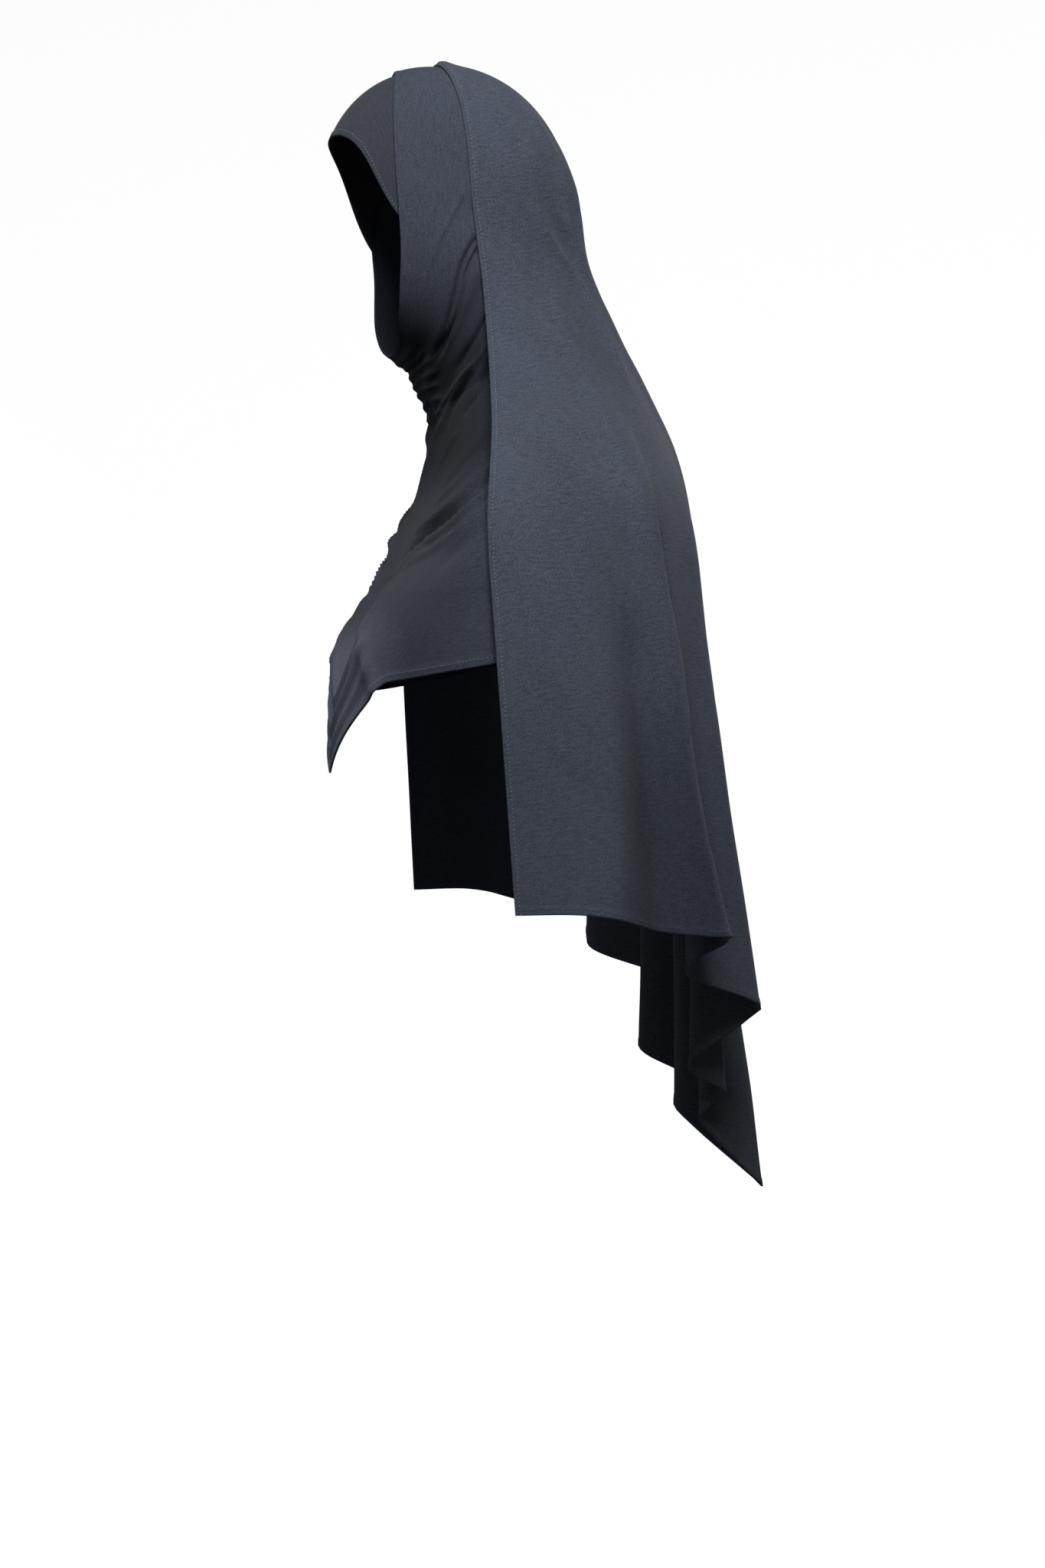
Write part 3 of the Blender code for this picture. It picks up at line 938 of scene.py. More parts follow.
@dataclass
class NeckWrap(ClothPiece):
    """The inner layer: over the crown, round the face and neck, and over the chest as a bib."""

    name: str = "wrap_cloth"
    node: str = "neck_wrap"
    slot: str = "wrap_jersey"
    finish: JerseyFinish = SHADED_WRAP_JERSEY
    flat: tuple[float, float] = (0.98, 0.60)
    flat_area: float = 0.34
    rests_on: tuple[str, ...] = ("cap_cloth",)
    columns: int = 192
    rows: int = 254
    hem_width: float = 0.0060
    column_steps: tuple[int, ...] = (0, 16, 96)
    column_shares: tuple[float, ...] = (0.0, 0.38, 1.0)
    row_steps: tuple[int, ...] = (0, 8, 22, 150, 246, 254)
    row_shares: tuple[float, ...] = (0.0, 0.018, 0.09, 0.50, 0.985, 1.0)
    # Painted shade below the chin, by how far below the crown, and painted light over the bust.
    painted_shade_drops: tuple[float, ...] = (
        0.145, 0.170, 0.190, 0.215, 0.280, 0.320, 0.360, 0.405, 0.450, 0.520,
    )
    shades: tuple[float, ...] = (1.0, 0.80, 0.58, 0.42, 0.44, 0.37, 0.64, 0.82, 0.88, 0.86)
    painted_bust_light: float = 0.85
    bust_ahead: Span = Span(0.045, 0.03)
    bust_below: Span = Span(0.43, 0.05)
    bib_point: float = 0.064
    bib_point_angle: float = 34.0
    bib_point_keen: float = 1.15
    bib_point_rows: Span = Span(0.72, 0.28)
    seated: Span = Span(-0.86, 0.26)
    unevenness: float = 0.0010
    swell: float = 0.055
    loose_rows: Span = Span(0.45, 0.2)
    chest_rows: tuple[Span, Span] = (Span(0.55, 0.04), Span(0.82, 0.03))
    chest_sides: Span = Span(0.86, 0.10)
    chest_calm: float = 0.8
    bare_sides: Span = Span(0.33, 0.07)
    loops: tuple[Loop, ...] = (
        Loop(0.00, -0.42, 0.00, 0.96, -0.48, 0.64, -0.41, 0.97),
        Loop(0.08, 0.06, 0.00, 1.00, -0.28, 0.65, -0.33, 1.00),
        Loop(0.17, 0.55, 0.04, 1.02, -0.03, 0.67, -0.24, 1.03),
        Loop(0.27, 0.94, 0.25, 1.00, 0.18, 0.73, -0.17, 1.09),
        Loop(0.37, 1.04, 0.53, 0.96, 0.36, 0.87, -0.11, 1.14),
        Loop(0.47, 1.02, 0.79, 1.05, 0.44, 0.98, -0.03, 1.24),
        Loop(0.56, 1.06, 1.00, 1.14, 0.43, 1.14, -0.05, 1.34),
        Loop(0.67, 0.96, 1.27, 1.12, 0.38, 1.44, -0.19, 1.58),
        Loop(0.79, 0.94, 1.52, 1.04, 0.32, 1.77, -0.47, 1.93),
        Loop(0.90, 0.86, 1.82, 0.94, 0.29, 2.15, -0.90, 2.43),
        Loop(1.00, 0.82, 2.34, 0.96, 0.30, 2.69, -1.00, 3.00),
    )
    main_folds: tuple[MainFold, ...] = (
        MainFold(0.53, 0.10, 0.98, 0.36, 0.060, 0.030),
        MainFold(0.56, 0.24, 1.00, 0.47, 0.065, 0.036),
        MainFold(0.58, 0.36, 1.00, 0.58, 0.065, 0.038),
        MainFold(0.60, 0.60, 0.93, 0.86, 0.080, 0.050),
        MainFold(0.62, 0.68, 0.84, 0.96, 0.080, 0.040),
    )
    creases: tuple[Crease, ...] = (
        # From the ear to the cheek and chin.
        Crease(
            ((0.385, 0.141), (0.440, 0.128), (0.498, 0.112), (0.552, 0.106), (0.607, 0.096)),
            0.0019, 0.0015, keen=1.6, start_fade=0.08, end_fade=0.3,
        ),
        Crease(
            ((0.456, 0.207), (0.538, 0.202), (0.598, 0.215), (0.647, 0.220), (0.730, 0.240), (0.805, 0.251)),
            0.0022, 0.0052, Side.IN, keen=1.7, start_fade=0.05, end_fade=0.15,
        ),
        Crease(
            ((0.466, 0.215), (0.545, 0.214), (0.607, 0.232), (0.670, 0.243), (0.745, 0.249)),
            0.0022, 0.0020, keen=1.7, start_fade=0.05, end_fade=0.2,
        ),
        Crease(
            ((0.474, 0.226), (0.547, 0.226), (0.594, 0.238), (0.656, 0.257), (0.736, 0.262), (0.812, 0.281)),
            0.0022, 0.0052, Side.IN, keen=1.7, start_fade=0.05, end_fade=0.2,
        ),
        Crease(
            ((0.509, 0.289), (0.592, 0.296), (0.654, 0.299), (0.734, 0.301), (0.810, 0.313)),
            0.0060, 0.0032, Side.IN, start_fade=0.1, end_fade=0.4,
        ),
        Crease(
            ((0.552, 0.338), (0.636, 0.348), (0.696, 0.363), (0.768, 0.390)),
            0.0026, 0.0036, Side.IN, keen=1.7, start_fade=0.08, end_fade=0.4,
        ),
        Crease(
            ((0.585, 0.389), (0.683, 0.414), (0.768, 0.430), (0.892, 0.464), (0.960, 0.520)),
            0.0026, 0.0022, keen=1.6, start_fade=0.1,
        ),
        Crease(
            ((0.618, 0.456), (0.690, 0.486), (0.736, 0.514), (0.781, 0.541), (0.823, 0.568)),
            0.0032, 0.0046, Side.IN, keen=1.6, start_fade=0.05, end_fade=0.4,
        ),
        Crease(
            ((0.640, 0.500), (0.665, 0.555), (0.705, 0.580), (0.763, 0.608)),
            0.0100, 0.0034, Side.IN, start_fade=0.1, end_fade=0.4,
        ),
        Crease(
            ((0.681, 0.412), (0.752, 0.443), (0.816, 0.474), (0.901, 0.540), (0.965, 0.588), (0.985, 0.640)),
            0.0028, 0.0022, keen=1.6, start_fade=0.1,
        ),
        Crease(
            ((0.700, 0.440), (0.770, 0.470), (0.830, 0.505), (0.900, 0.570), (0.955, 0.640)),
            0.0034, 0.0020, Side.IN, keen=1.7, start_fade=0.1,
        ),
        Crease(
            ((0.819, 0.585), (0.861, 0.605), (0.897, 0.635), (0.932, 0.666), (0.957, 0.694)),
            0.0028, 0.0022, keen=1.6, start_fade=0.1,
        ),
        Crease(
            ((0.690, 0.620), (0.730, 0.640), (0.808, 0.670), (0.860, 0.700)),
            0.0060, 0.0022, Side.IN, start_fade=0.1,
        ),
        Crease(
            ((0.660, 0.642), (0.730, 0.675), (0.774, 0.696), (0.821, 0.713), (0.857, 0.733)),
            0.0030, 0.0024, keen=1.6, start_fade=0.08,
        ),
        # Gathers that meet at the throat.
        Crease(((0.82, 0.115), (0.90, 0.085), (1.0, 0.060)), 0.0030, 0.0012, keen=1.7, end_fade=0.0),
        Crease(((0.80, 0.180), (0.90, 0.145), (1.0, 0.115)), 0.0030, 0.0018, keen=1.7, end_fade=0.0),
        Crease(((0.80, 0.250), (0.90, 0.205), (1.0, 0.175)), 0.0030, 0.0022, keen=1.7, end_fade=0.0),
        Crease(((0.80, 0.315), (0.90, 0.270), (1.0, 0.240)), 0.0030, 0.0022, keen=1.7, end_fade=0.0),
        Crease(((0.82, 0.375), (0.91, 0.340), (1.0, 0.310)), 0.0030, 0.0022, keen=1.7, end_fade=0.0),
        Crease(((0.84, 0.435), (0.92, 0.405), (1.0, 0.380)), 0.0030, 0.0020, keen=1.7, end_fade=0.0),
        Crease(((0.86, 0.490), (0.93, 0.470), (1.0, 0.450)), 0.0030, 0.0014, keen=1.7, end_fade=0.0),
        # Across the bib to the bust.
        Crease(
            ((0.660, 0.680), (0.694, 0.697), (0.752, 0.728), (0.803, 0.741), (0.877, 0.754), (0.950, 0.762)),
            0.0034, 0.0038, keen=1.6, start_fade=0.05, end_fade=0.45,
        ),
        Crease(
            ((0.640, 0.690), (0.692, 0.716), (0.763, 0.750), (0.830, 0.768), (0.900, 0.783), (0.960, 0.800)),
            0.0062, 0.0060, Side.IN, start_fade=0.03, end_fade=0.3,
        ),
        Crease(
            (
                (0.660, 0.712), (0.690, 0.728), (0.739, 0.753), (0.796, 0.772), (0.845, 0.784),
                (0.900, 0.801), (0.905, 0.832), (0.892, 0.881),
            ),
            0.0024, 0.0036, keen=1.5, start_fade=0.05, end_fade=0.2,
        ),
        Crease(
            ((0.660, 0.726), (0.700, 0.748), (0.745, 0.766), (0.797, 0.783), (0.850, 0.794)),
            0.0030, 0.0022, Side.IN, start_fade=0.05, end_fade=0.4,
        ),
        Crease(
            ((0.660, 0.740), (0.687, 0.753), (0.752, 0.779), (0.799, 0.793), (0.859, 0.805), (0.885, 0.833)),
            0.0023, 0.0026, keen=1.5, start_fade=0.05, end_fade=0.35,
        ),
        Crease(
            ((0.660, 0.778), (0.725, 0.800), (0.763, 0.816), (0.779, 0.838)),
            0.0070, 0.0024, Side.IN, start_fade=0.08, end_fade=0.4,
        ),
        Crease(((0.90, 0.835), (0.892, 0.881), (0.857, 0.933), (0.841, 0.992)), 0.0080, 0.0030, end_fade=0.0),
        Crease(((0.890, 0.863), (0.914, 0.898), (1.0, 0.915)), 0.0046, 0.0032, end_fade=0.0),
        Crease(((0.852, 0.900), (0.899, 0.929), (1.0, 0.943)), 0.0046, 0.0032, end_fade=0.0),
        Crease(((0.828, 0.944), (0.888, 0.964), (1.0, 0.971)), 0.0046, 0.0022, end_fade=0.0),
    )

    def shares(self) -> tuple[np.ndarray, np.ndarray]:
        """Rows lie closer together at the edges, and columns where the shawl leaves the wrap bare."""
        half = self.columns // 2
        steps = half - np.abs(np.arange(self.columns + 1) - half)
        side = np.interp(steps, self.column_steps, self.column_shares)
        across = np.where(np.arange(self.columns + 1) <= half, side / 2, 1.0 - side / 2)
        return across, np.interp(np.arange(self.rows + 1), self.row_steps, self.row_shares)

    def side_share(self, u: np.ndarray) -> np.ndarray:
        """0 at the back and 1 at the middle of the front."""
        return 1.0 - np.abs(1.0 - 2.0 * u)

    def without_folds(self, u: np.ndarray, v: np.ndarray) -> np.ndarray:
        """The wrap's body: u goes round from the back, and v from the face edge to the hem."""
        body, head = self.body, self.body.head
        knots = column(self.loops, "along")
        row = {name: along_curve(knots, column(self.loops, name), v) for name in Loop._fields[1:]}
        angle = 2.0 * math.pi * u
        back_y, side_y, front_y = (
            head.set_back + row[f"{part}_y"] * body.depth(row[f"{part}_level"], row[f"{part}_y"])
            for part in ("back", "side", "front")
        )
        back_z, side_z, front_z = (
            body.level_height(row[f"{part}_level"]) for part in ("back", "side", "front")
        )
        across, turn = np.sin(angle), np.cos(angle)
        x = row["side_x"] * body.half_width(row["side_level"]) * across
        y = (back_y + front_y) / 2 + (back_y - front_y) / 2 * turn
        y += (side_y - (back_y + front_y) / 2) * across**2
        z = (back_z + front_z) / 2 + (back_z - front_z) / 2 * turn
        z += (side_z - (back_z + front_z) / 2) * across**2
        points = np.stack((x, y, z), 1)
        close = self.seated.rise(z / head.height)[:, None]
        points += (head.seat(points, self.gauge.offset(1)) - points) * close
        from_front = np.degrees(np.abs(angle - math.pi))
        point = np.clip(1.0 - from_front / self.bib_point_angle, 0.0, 1.0) ** self.bib_point_keen
        points[:, 2] -= self.bib_point * point * self.bib_point_rows.rise(v)
        return points

    def main_lift(self, side: np.ndarray, along: np.ndarray) -> np.ndarray:
        """How far the main folds lift the cloth."""
        return fold_lift(self.main_folds, side, along, self.body.head.width, rise=0.5)

    def place(self, u: np.ndarray, v: np.ndarray) -> np.ndarray:
        """The wrap with its main folds, tucked under the shawl."""
        lift = self.main_lift(self.side_share(u), v)
        normals = sheet_normals(self.without_folds, u, v)
        shawl = OuterShawl()
        return shawl.draw_out(shawl.tuck(self.without_folds(u, v) + normals * lift[:, None]))

    def shape_grid(self, grid: ClothGrid) -> None:
        """Adds the finer folds, fainter at the middle of the chest and none under the shawl."""
        heights = [grid.crease_height(crease, self.side_share) for crease in self.creases]
        total = np.sum(heights, axis=0)
        total += self.unevenness * drift(grid.points, self.swell, 3) * self.loose_rows.rise(grid.v)
        side = self.side_share(grid.u)
        above, below = self.chest_rows
        chest = above.rise(grid.v) * below.fall(grid.v)
        total *= 1.0 - self.chest_calm * chest * self.chest_sides.rise(side)
        grid.lift(total * self.bare_sides.rise(side))

    def hem_weight(self, grid: ClothGrid) -> np.ndarray:
        """The face edge and the bib's hem are doubled."""
        run = lengths_along(grid.points)
        edge = np.minimum(run + 0.003, run[-1] - run)
        return 1.0 - Span(self.hem_width, self.hem_step).rise(edge)

    def tone(self, grid: ClothGrid) -> np.ndarray:
        """Painted shade darkens the gathered cloth below the chin, and painted light lightens the cloth drawn
        over the bust.
        """
        drop, ahead = -grid.points[..., 2], -grid.points[..., 1]
        shade = along_curve(np.array(self.painted_shade_drops), np.array(self.shades), drop)
        return shade + self.painted_bust_light * (self.bust_ahead.rise(ahead) * self.bust_below.rise(drop))

    def build(self) -> bpy.types.Object:
        """Makes the wrap and the stitches of the bib's hem."""
        piece, grid = self.make()
        edge, inside = grid.points[-1], grid.points[-9]
        row = StitchRow("bib_hem_stitches", self.hem_width - self.stitch_inset)
        stitches = row.sew(edge, inside - edge, grid.normals()[-6], self.surface(piece))
        self.declare(piece, [stitches])
        return piece


class Slope(NamedTuple):
    """How the shawl widens at a share of the way from the head's middle to the shoulders."""

    drop: float
    spread: float
    lean: float
    edge: float


class HemPoint(NamedTuple):
    """A point of the shawl's hem, as shares of the shoulders' half width, the back and the fall."""

    share: float
    side: float
    back: float
    fall: float


@dataclass
class OuterShawl(ClothPiece):
    """The long outer layer, from the crown over the shoulders to a fluted hem at the back."""

    name: str = "shawl_cloth"
    node: str = "outer_shawl"
    slot: str = "shawl_jersey"
    finish: JerseyFinish = SHAWL_JERSEY
    flat: tuple[float, float] = (1.16, 0.98)
    flat_area: float = 0.48
    rests_on: tuple[str, ...] = ("wrap_cloth",)
    columns: int = 256
    rows: int = 176
    outward: float = -1.0
    front_length: float = 0.675
    back_length: float = 0.917
    edge_set_back: float = 0.020
    crown_lead: float = 0.010
    roll_height: float = 0.0030
    roll_width: float = 0.010
    roll_end: float = 1.6
    rim_width: float = 0.006
    rim_gap: float = 0.0016
    tuck_from: Span = Span(0.5, 0.35)
    drawn_ahead: float = 0.062
    drawn_behind: float = 0.040
    drawn_gap: float = 0.0036
    drawn_from: Span = Span(0.085, 0.06)
    drawn_to: Span = Span(0.56, 0.06)
    drawn_sides: Span = Span(0.30, 0.40)
    drawn_drops: tuple[float, ...] = (0.10, 0.20, 0.25, 0.32, 0.38, 0.50)
    drawn_shares: tuple[float, ...] = (1.0, 0.95, 0.50, 0.35, 0.80, 0.90)
    turn_row: float = 0.73
    turn_reach: float = 0.07
    turn_passes: int = 60
    unevenness: float = 0.0012
    swell: float = 0.085
    loose_rows: Span = Span(0.30, 0.25)
    main_fold_rows: Span = Span(0.1, 0.1)
    crease_rows: Span = Span(0.0, 0.12)
    # Painted shade on the low shawl: a little all over, and more on the plane before the first long fold.
    painted_low_shade: float = 0.12
    low_rows: Span = Span(0.74, 0.18)
    painted_plane_shade: float = 0.36
    plane_soft: float = 0.10
    plane_keen: float = 0.014
    plane_rows: tuple[float, ...] = (0.76, 0.80, 0.874, 1.0)
    plane_from: tuple[float, ...] = (0.235, 0.238, 0.245, 0.215)
    plane_to: tuple[float, ...] = (0.452, 0.455, 0.440, 0.462)
    edge_hem: float = 0.0046
    edge_hem_rows: Span = Span(0.0, 0.03)
    low_hem: float = 0.0054
    low_stitch_inset: float = 0.0012
    head_rows: int = 9
    slope_rows: int = 10
    hanging_rows: int = 7
    slopes: tuple[Slope, ...] = (
        Slope(0.00, 0.00, 0.00, 0.45),
        Slope(0.14, 0.02, 0.05, 0.75),
        Slope(0.22, 0.04, 0.16, 0.90),
        Slope(0.31, 0.09, 0.32, 0.98),
        Slope(0.41, 0.18, 0.50, 1.00),
        Slope(0.52, 0.34, 0.66, 0.90),
        Slope(0.64, 0.58, 0.82, 0.65),
        Slope(0.75, 0.79, 0.92, 0.30),
        Slope(0.88, 0.94, 0.98, 0.02),
        Slope(1.00, 1.00, 1.00, 0.00),
    )
    hem_points: tuple[HemPoint, ...] = (
        HemPoint(0.00, 1.08, 0.06, 0.00),
        HemPoint(0.14, 1.13, 0.29, 0.00),
        HemPoint(0.27, 1.11, 0.49, 0.03),
        HemPoint(0.42, 0.99, 0.78, 0.08),
        HemPoint(0.50, 0.91, 0.89, 0.10),
        HemPoint(0.58, 0.77, 0.78, 0.20),
        HemPoint(0.69, 0.51, 1.12, 0.35),
        HemPoint(0.78, 0.38, 0.90, 0.54),
        HemPoint(0.85, 0.27, 1.06, 0.64),
        HemPoint(0.92, 0.17, 1.02, 0.75),
        HemPoint(1.00, 0.00, 1.32, 1.00),
    )
    main_folds: tuple[MainFold, ...] = (
        MainFold(0.44, 0.16, 0.72, 0.44, 0.050, 0.024),
        MainFold(0.60, 0.20, 0.86, 0.62, 0.050, 0.026),
        MainFold(0.30, 0.42, 0.44, 0.72, 0.055, 0.018),
    )
    creases: tuple[Crease, ...] = (
        # Pulls on the back of the head.
        Crease(
            ((0.327, 0.235), (0.367, 0.285), (0.489, 0.349), (0.627, 0.378)), 0.0048, 0.0030, keen=1.6
        ),
        Crease(
            ((0.314, 0.300), (0.400, 0.377), (0.567, 0.415), (0.614, 0.474), (0.598, 0.548)),
            0.0052, 0.0042, keen=1.6,
        ),
        Crease(((0.503, 0.271), (0.558, 0.320), (0.612, 0.366), (0.680, 0.420)), 0.0055, 0.0024, keen=1.7),
        Crease(((0.580, 0.250), (0.660, 0.320), (0.740, 0.400), (0.800, 0.500)), 0.0060, 0.0024, keen=1.7),
        Crease(
            ((0.340, 0.270), (0.420, 0.335), (0.550, 0.385), (0.620, 0.430)),
            0.0060, 0.0018, Side.IN, keen=1.7,
        ),
        # Long folds that run down into the flutes of the hem.
        Crease(
            ((0.440, 0.560), (0.425, 0.697), (0.450, 0.750), (0.455, 0.800), (0.440, 0.874), (0.462, 1.0)),
            0.0150, 0.0100, lean=0.65, start_fade=0.25, end_fade=0.0,
        ),
        Crease(
            ((0.500, 0.640), (0.495, 0.720), (0.515, 0.800), (0.505, 0.874), (0.540, 1.0)),
            0.0110, 0.0080, Side.IN, start_fade=0.3, end_fade=0.0,
        ),
        Crease(
            ((0.690, 0.580), (0.700, 0.680), (0.690, 0.780), (0.668, 0.870), (0.690, 1.0)),
            0.0130, 0.0056, lean=0.55, end_fade=0.0,
        ),
        Crease(
            ((0.235, 0.780), (0.245, 0.850), (0.245, 0.911), (0.215, 1.0)),
            0.0200, 0.0055, lean=0.35, start_fade=0.6, end_fade=0.0,
        ),
        Crease(((0.345, 0.740), (0.345, 0.880), (0.330, 1.0)), 0.0190, 0.0085, Side.IN, end_fade=0.0),
        Crease(((0.095, 0.800), (0.100, 0.900), (0.095, 1.0)), 0.0180, 0.0016, Side.IN, end_fade=0.0),
        Crease(((0.850, 0.560), (0.860, 0.750), (0.850, 1.0)), 0.0120, 0.0040, keen=1.7, end_fade=0.0),
        Crease(((0.940, 0.600), (0.935, 0.800), (0.920, 1.0)), 0.0120, 0.0030, Side.IN, end_fade=0.0),
    )

    def shares(self) -> tuple[np.ndarray, np.ndarray]:
        """Columns lie closer together at the front edges, and rows at the hem."""
        rows = np.interp(np.arange(self.rows + 1), (0, 166, 176), (0.0, 0.985, 1.0))
        return spread_shares(self.columns, 0.016, 10), rows

    def side_share(self, u: np.ndarray) -> np.ndarray:
        """0 at the front edge and 1 at the middle of the back."""
        return np.clip(1.0 - np.abs(2.0 * u - 1.0), 0.0, 1.0)

    def section(self, drop: np.ndarray) -> tuple[np.ndarray, np.ndarray, np.ndarray]:
        """The shawl's half width, front edge and back at a distance below the crown.

        Args:
            drop: the distances.

        Returns:
            The half widths, the places of the front edge, and the places of the back.
        """
        body, head = self.body, self.body.head
        top = self.gauge.offset(2)
        half_width, half_depth, _ = head.half_sizes(top)
        rise = np.clip((head.height / 2 - drop) / (head.height / 2 + top), 0.0, 1.0)
        round_share = (1.0 - rise**head.fullness) ** (1.0 / head.fullness)
        share = (drop - head.height / 2) / (body.shoulder_drop - head.height / 2)
        knots = column(self.slopes, "drop")
        spread, lean, edge = (
            along_curve(knots, column(self.slopes, name), share) for name in Slope._fields[1:]
        )
        edge = np.where(share < 0, self.slopes[0].edge * (1.0 - rise), edge)
        width = half_width * round_share * (1.0 - spread) + body.shoulder_width / 2 * spread
        back = (head.set_back - head.lean_at(rise) + half_depth * round_share) * (1.0 - lean)
        back += body.back_depth * lean
        front = head.set_back * (1.0 - spread) + edge * (self.edge_set_back - head.set_back)
        return width, front - self.crown_lead * rise**4, back

    def round_section(self, drop: np.ndarray, share: np.ndarray) -> tuple[np.ndarray, np.ndarray]:
        """Places round half a section, from its front edge, 0, to the middle of its back, 1."""
        width, front, back = self.section(drop)
        angle = share * math.pi / 2
        fullness = 2.0 / self.body.head.fullness
        x = width * np.clip(np.cos(angle), 0.0, 1.0) ** fullness
        return x, front + (back - front) * np.clip(np.sin(angle), 0.0, 1.0) ** fullness

    def tuck(self, points: np.ndarray) -> np.ndarray:
        """Keeps points of the wrap that lie under the shawl a gap inside it."""
        head, gap = self.body.head, self.gauge.tuck
        width, front, back = self.section(-points[:, 2])
        behind = np.maximum(points[:, 1] - front, 0.0)
        reach = np.abs(points[:, 0] / (width - gap)) ** head.fullness
        reach += (behind / (back - front - gap)) ** head.fullness
        reach = reach ** (1.0 / head.fullness)
        under = (points[:, 2] < -head.height / 2) & (reach > 1.0)
        scale = np.where(under, 1.0 / np.maximum(reach, 1.0), 1.0)
        scale = 1.0 + (scale - 1.0) * self.tuck_from.rise(-points[:, 2] / head.height)
        points[:, 0] *= scale
        points[:, 1] = np.where(behind > 0, front + behind * scale, points[:, 1])
        return points

    def draw_out(self, points: np.ndarray) -> np.ndarray:
        """Brings the wrap out to the shawl beside the shawl's front edge, where the two touch."""
        drop, out = -points[:, 2], np.abs(points[:, 0])
        width, front, back = self.section(drop)
        behind = np.maximum(points[:, 1] - front, 0.0)
        ahead = np.maximum(front - points[:, 1], 0.0)
        fullness = self.body.head.fullness
        round_share = (1.0 - np.minimum(behind / (back - front), 1.0) ** fullness) ** (1.0 / fullness)
        near = smooth_step(1.0 - ahead / self.drawn_ahead) * smooth_step(1.0 - behind / self.drawn_behind)
        near *= self.drawn_from.rise(drop) * self.drawn_to.fall(drop)
        near *= self.drawn_sides.rise(out / width)
        near *= np.interp(drop, self.drawn_drops, self.drawn_shares)
        reach = np.maximum(width * round_share - self.drawn_gap, out)
        points[:, 0] = np.sign(points[:, 0]) * (out + (reach - out) * near)
        return points

    def row_at(self, v: np.ndarray) -> tuple[np.ndarray, np.ndarray]:
        """The drop of a row on the head or slope, and how far a row is down the hanging part."""
        head = self.body.head
        rows = self.head_rows + self.slope_rows + self.hanging_rows
        on_head = self.head_rows / rows
        above = (self.head_rows + self.slope_rows) / rows
        elevation = np.clip(1.0 - v / on_head, 0.0, 1.0) * math.pi / 2
        head_drop = head.height / 2 - (head.height / 2 + self.gauge.offset(2)) * np.sin(elevation)
        slope = np.clip((v - on_head) / (above - on_head), 0.0, 1.0)
        slope_drop = head.height / 2 + slope * (self.body.shoulder_drop - head.height / 2)
        hanging = np.clip((v - above) / (1.0 - above), 0.0, None)
        return np.where(v < on_head, head_drop, slope_drop), hanging

    def without_folds(self, u: np.ndarray, v: np.ndarray) -> np.ndarray:
        """The shawl's body: u goes from the left front edge to the right one, v down from the crown."""
        body = self.body
        share = self.side_share(u)
        drop, hanging = self.row_at(np.maximum(v, 0.0))
        x, y = self.round_section(drop, share)
        knots = column(self.hem_points, "share")
        side, back, fall = (
            along_curve(knots, column(self.hem_points, name), share)
            for name in HemPoint._fields[1:]
        )
        low = -(self.front_length + fall * (self.back_length - self.front_length))
        x = x + (side * body.shoulder_width / 2 - x) * hanging
        y = y + (body.head.set_back + back * body.back_depth - y) * hanging
        z = -drop + (low + drop) * hanging
        return np.stack((np.sign(0.5 - u) * x, y, z), 1)

    def place(self, u: np.ndarray, v: np.ndarray) -> np.ndarray:
        """The shawl with its main folds, and with its front edge rolled over on the head."""
        head = self.body.head
        points = self.without_folds(u, v)
        front = self.section(-points[:, 2])[1]
        roll = np.exp(-(((points[:, 1] - front) / self.roll_width) ** 2))
        roll *= smooth_step(self.roll_end + points[:, 2] / (head.height / 2))
        lifted = head.seat(points, self.gauge.offset(2) + self.roll_height)
        rim = smooth_step(1.0 - (points[:, 1] - front) / self.rim_width)[:, None]
        lifted += (head.seat(points, self.gauge.offset(1) + self.rim_gap) - lifted) * rim
        lift = fold_lift(self.main_folds, self.side_share(u), v, head.width)
        lift *= self.main_fold_rows.rise(v)
        folded = sheet_normals(self.without_folds, np.clip(u, 0.01, 0.99), v) * -lift[:, None]
        return points + (lifted - points) * roll[:, None] + folded

    def shape_grid(self, grid: ClothGrid) -> None:
        """Rounds the turn at the shoulders, and adds the finer folds."""
        near = np.exp(-(((grid.v - self.turn_row) / self.turn_reach) ** 2))
        grid.soften(self.turn_passes, near, rows_only=True)
        heights = [grid.crease_height(crease, self.side_share) for crease in self.creases]
        total = np.sum(heights, axis=0)
        total += self.unevenness * drift(grid.points, self.swell, 11) * self.loose_rows.rise(grid.v)
        total *= self.crease_rows.rise(grid.v)
        grid.lift(total)

    def hem_weight(self, grid: ClothGrid) -> np.ndarray:
        """The front edges and the low hem are doubled."""
        along = lengths_along(grid.points)
        across = lengths_along(grid.points.transpose(1, 0, 2)).T
        edge = np.minimum(across, across[:, -1:] - across)
        front = 1.0 - Span(self.edge_hem, self.hem_step).rise(edge)
        low = 1.0 - Span(self.low_hem, self.hem_step).rise(along[-1] - along)
        return np.maximum(front * self.edge_hem_rows.rise(grid.v), low)

    def tone(self, grid: ClothGrid) -> np.ndarray:
        """Painted shade darkens the low cloth a little, and more on the plane that turns away from the light
        before the first long fold.
        """
        side = self.side_share(grid.u)
        start = np.interp(grid.v, self.plane_rows, self.plane_from)
        stop = np.interp(grid.v, self.plane_rows, self.plane_to)
        plane = smooth_step((side - start) / self.plane_soft)
        plane = plane * smooth_step((stop - side) / self.plane_keen)
        return 1.0 - self.low_rows.rise(grid.v) * (self.painted_plane_shade * plane + self.painted_low_shade)

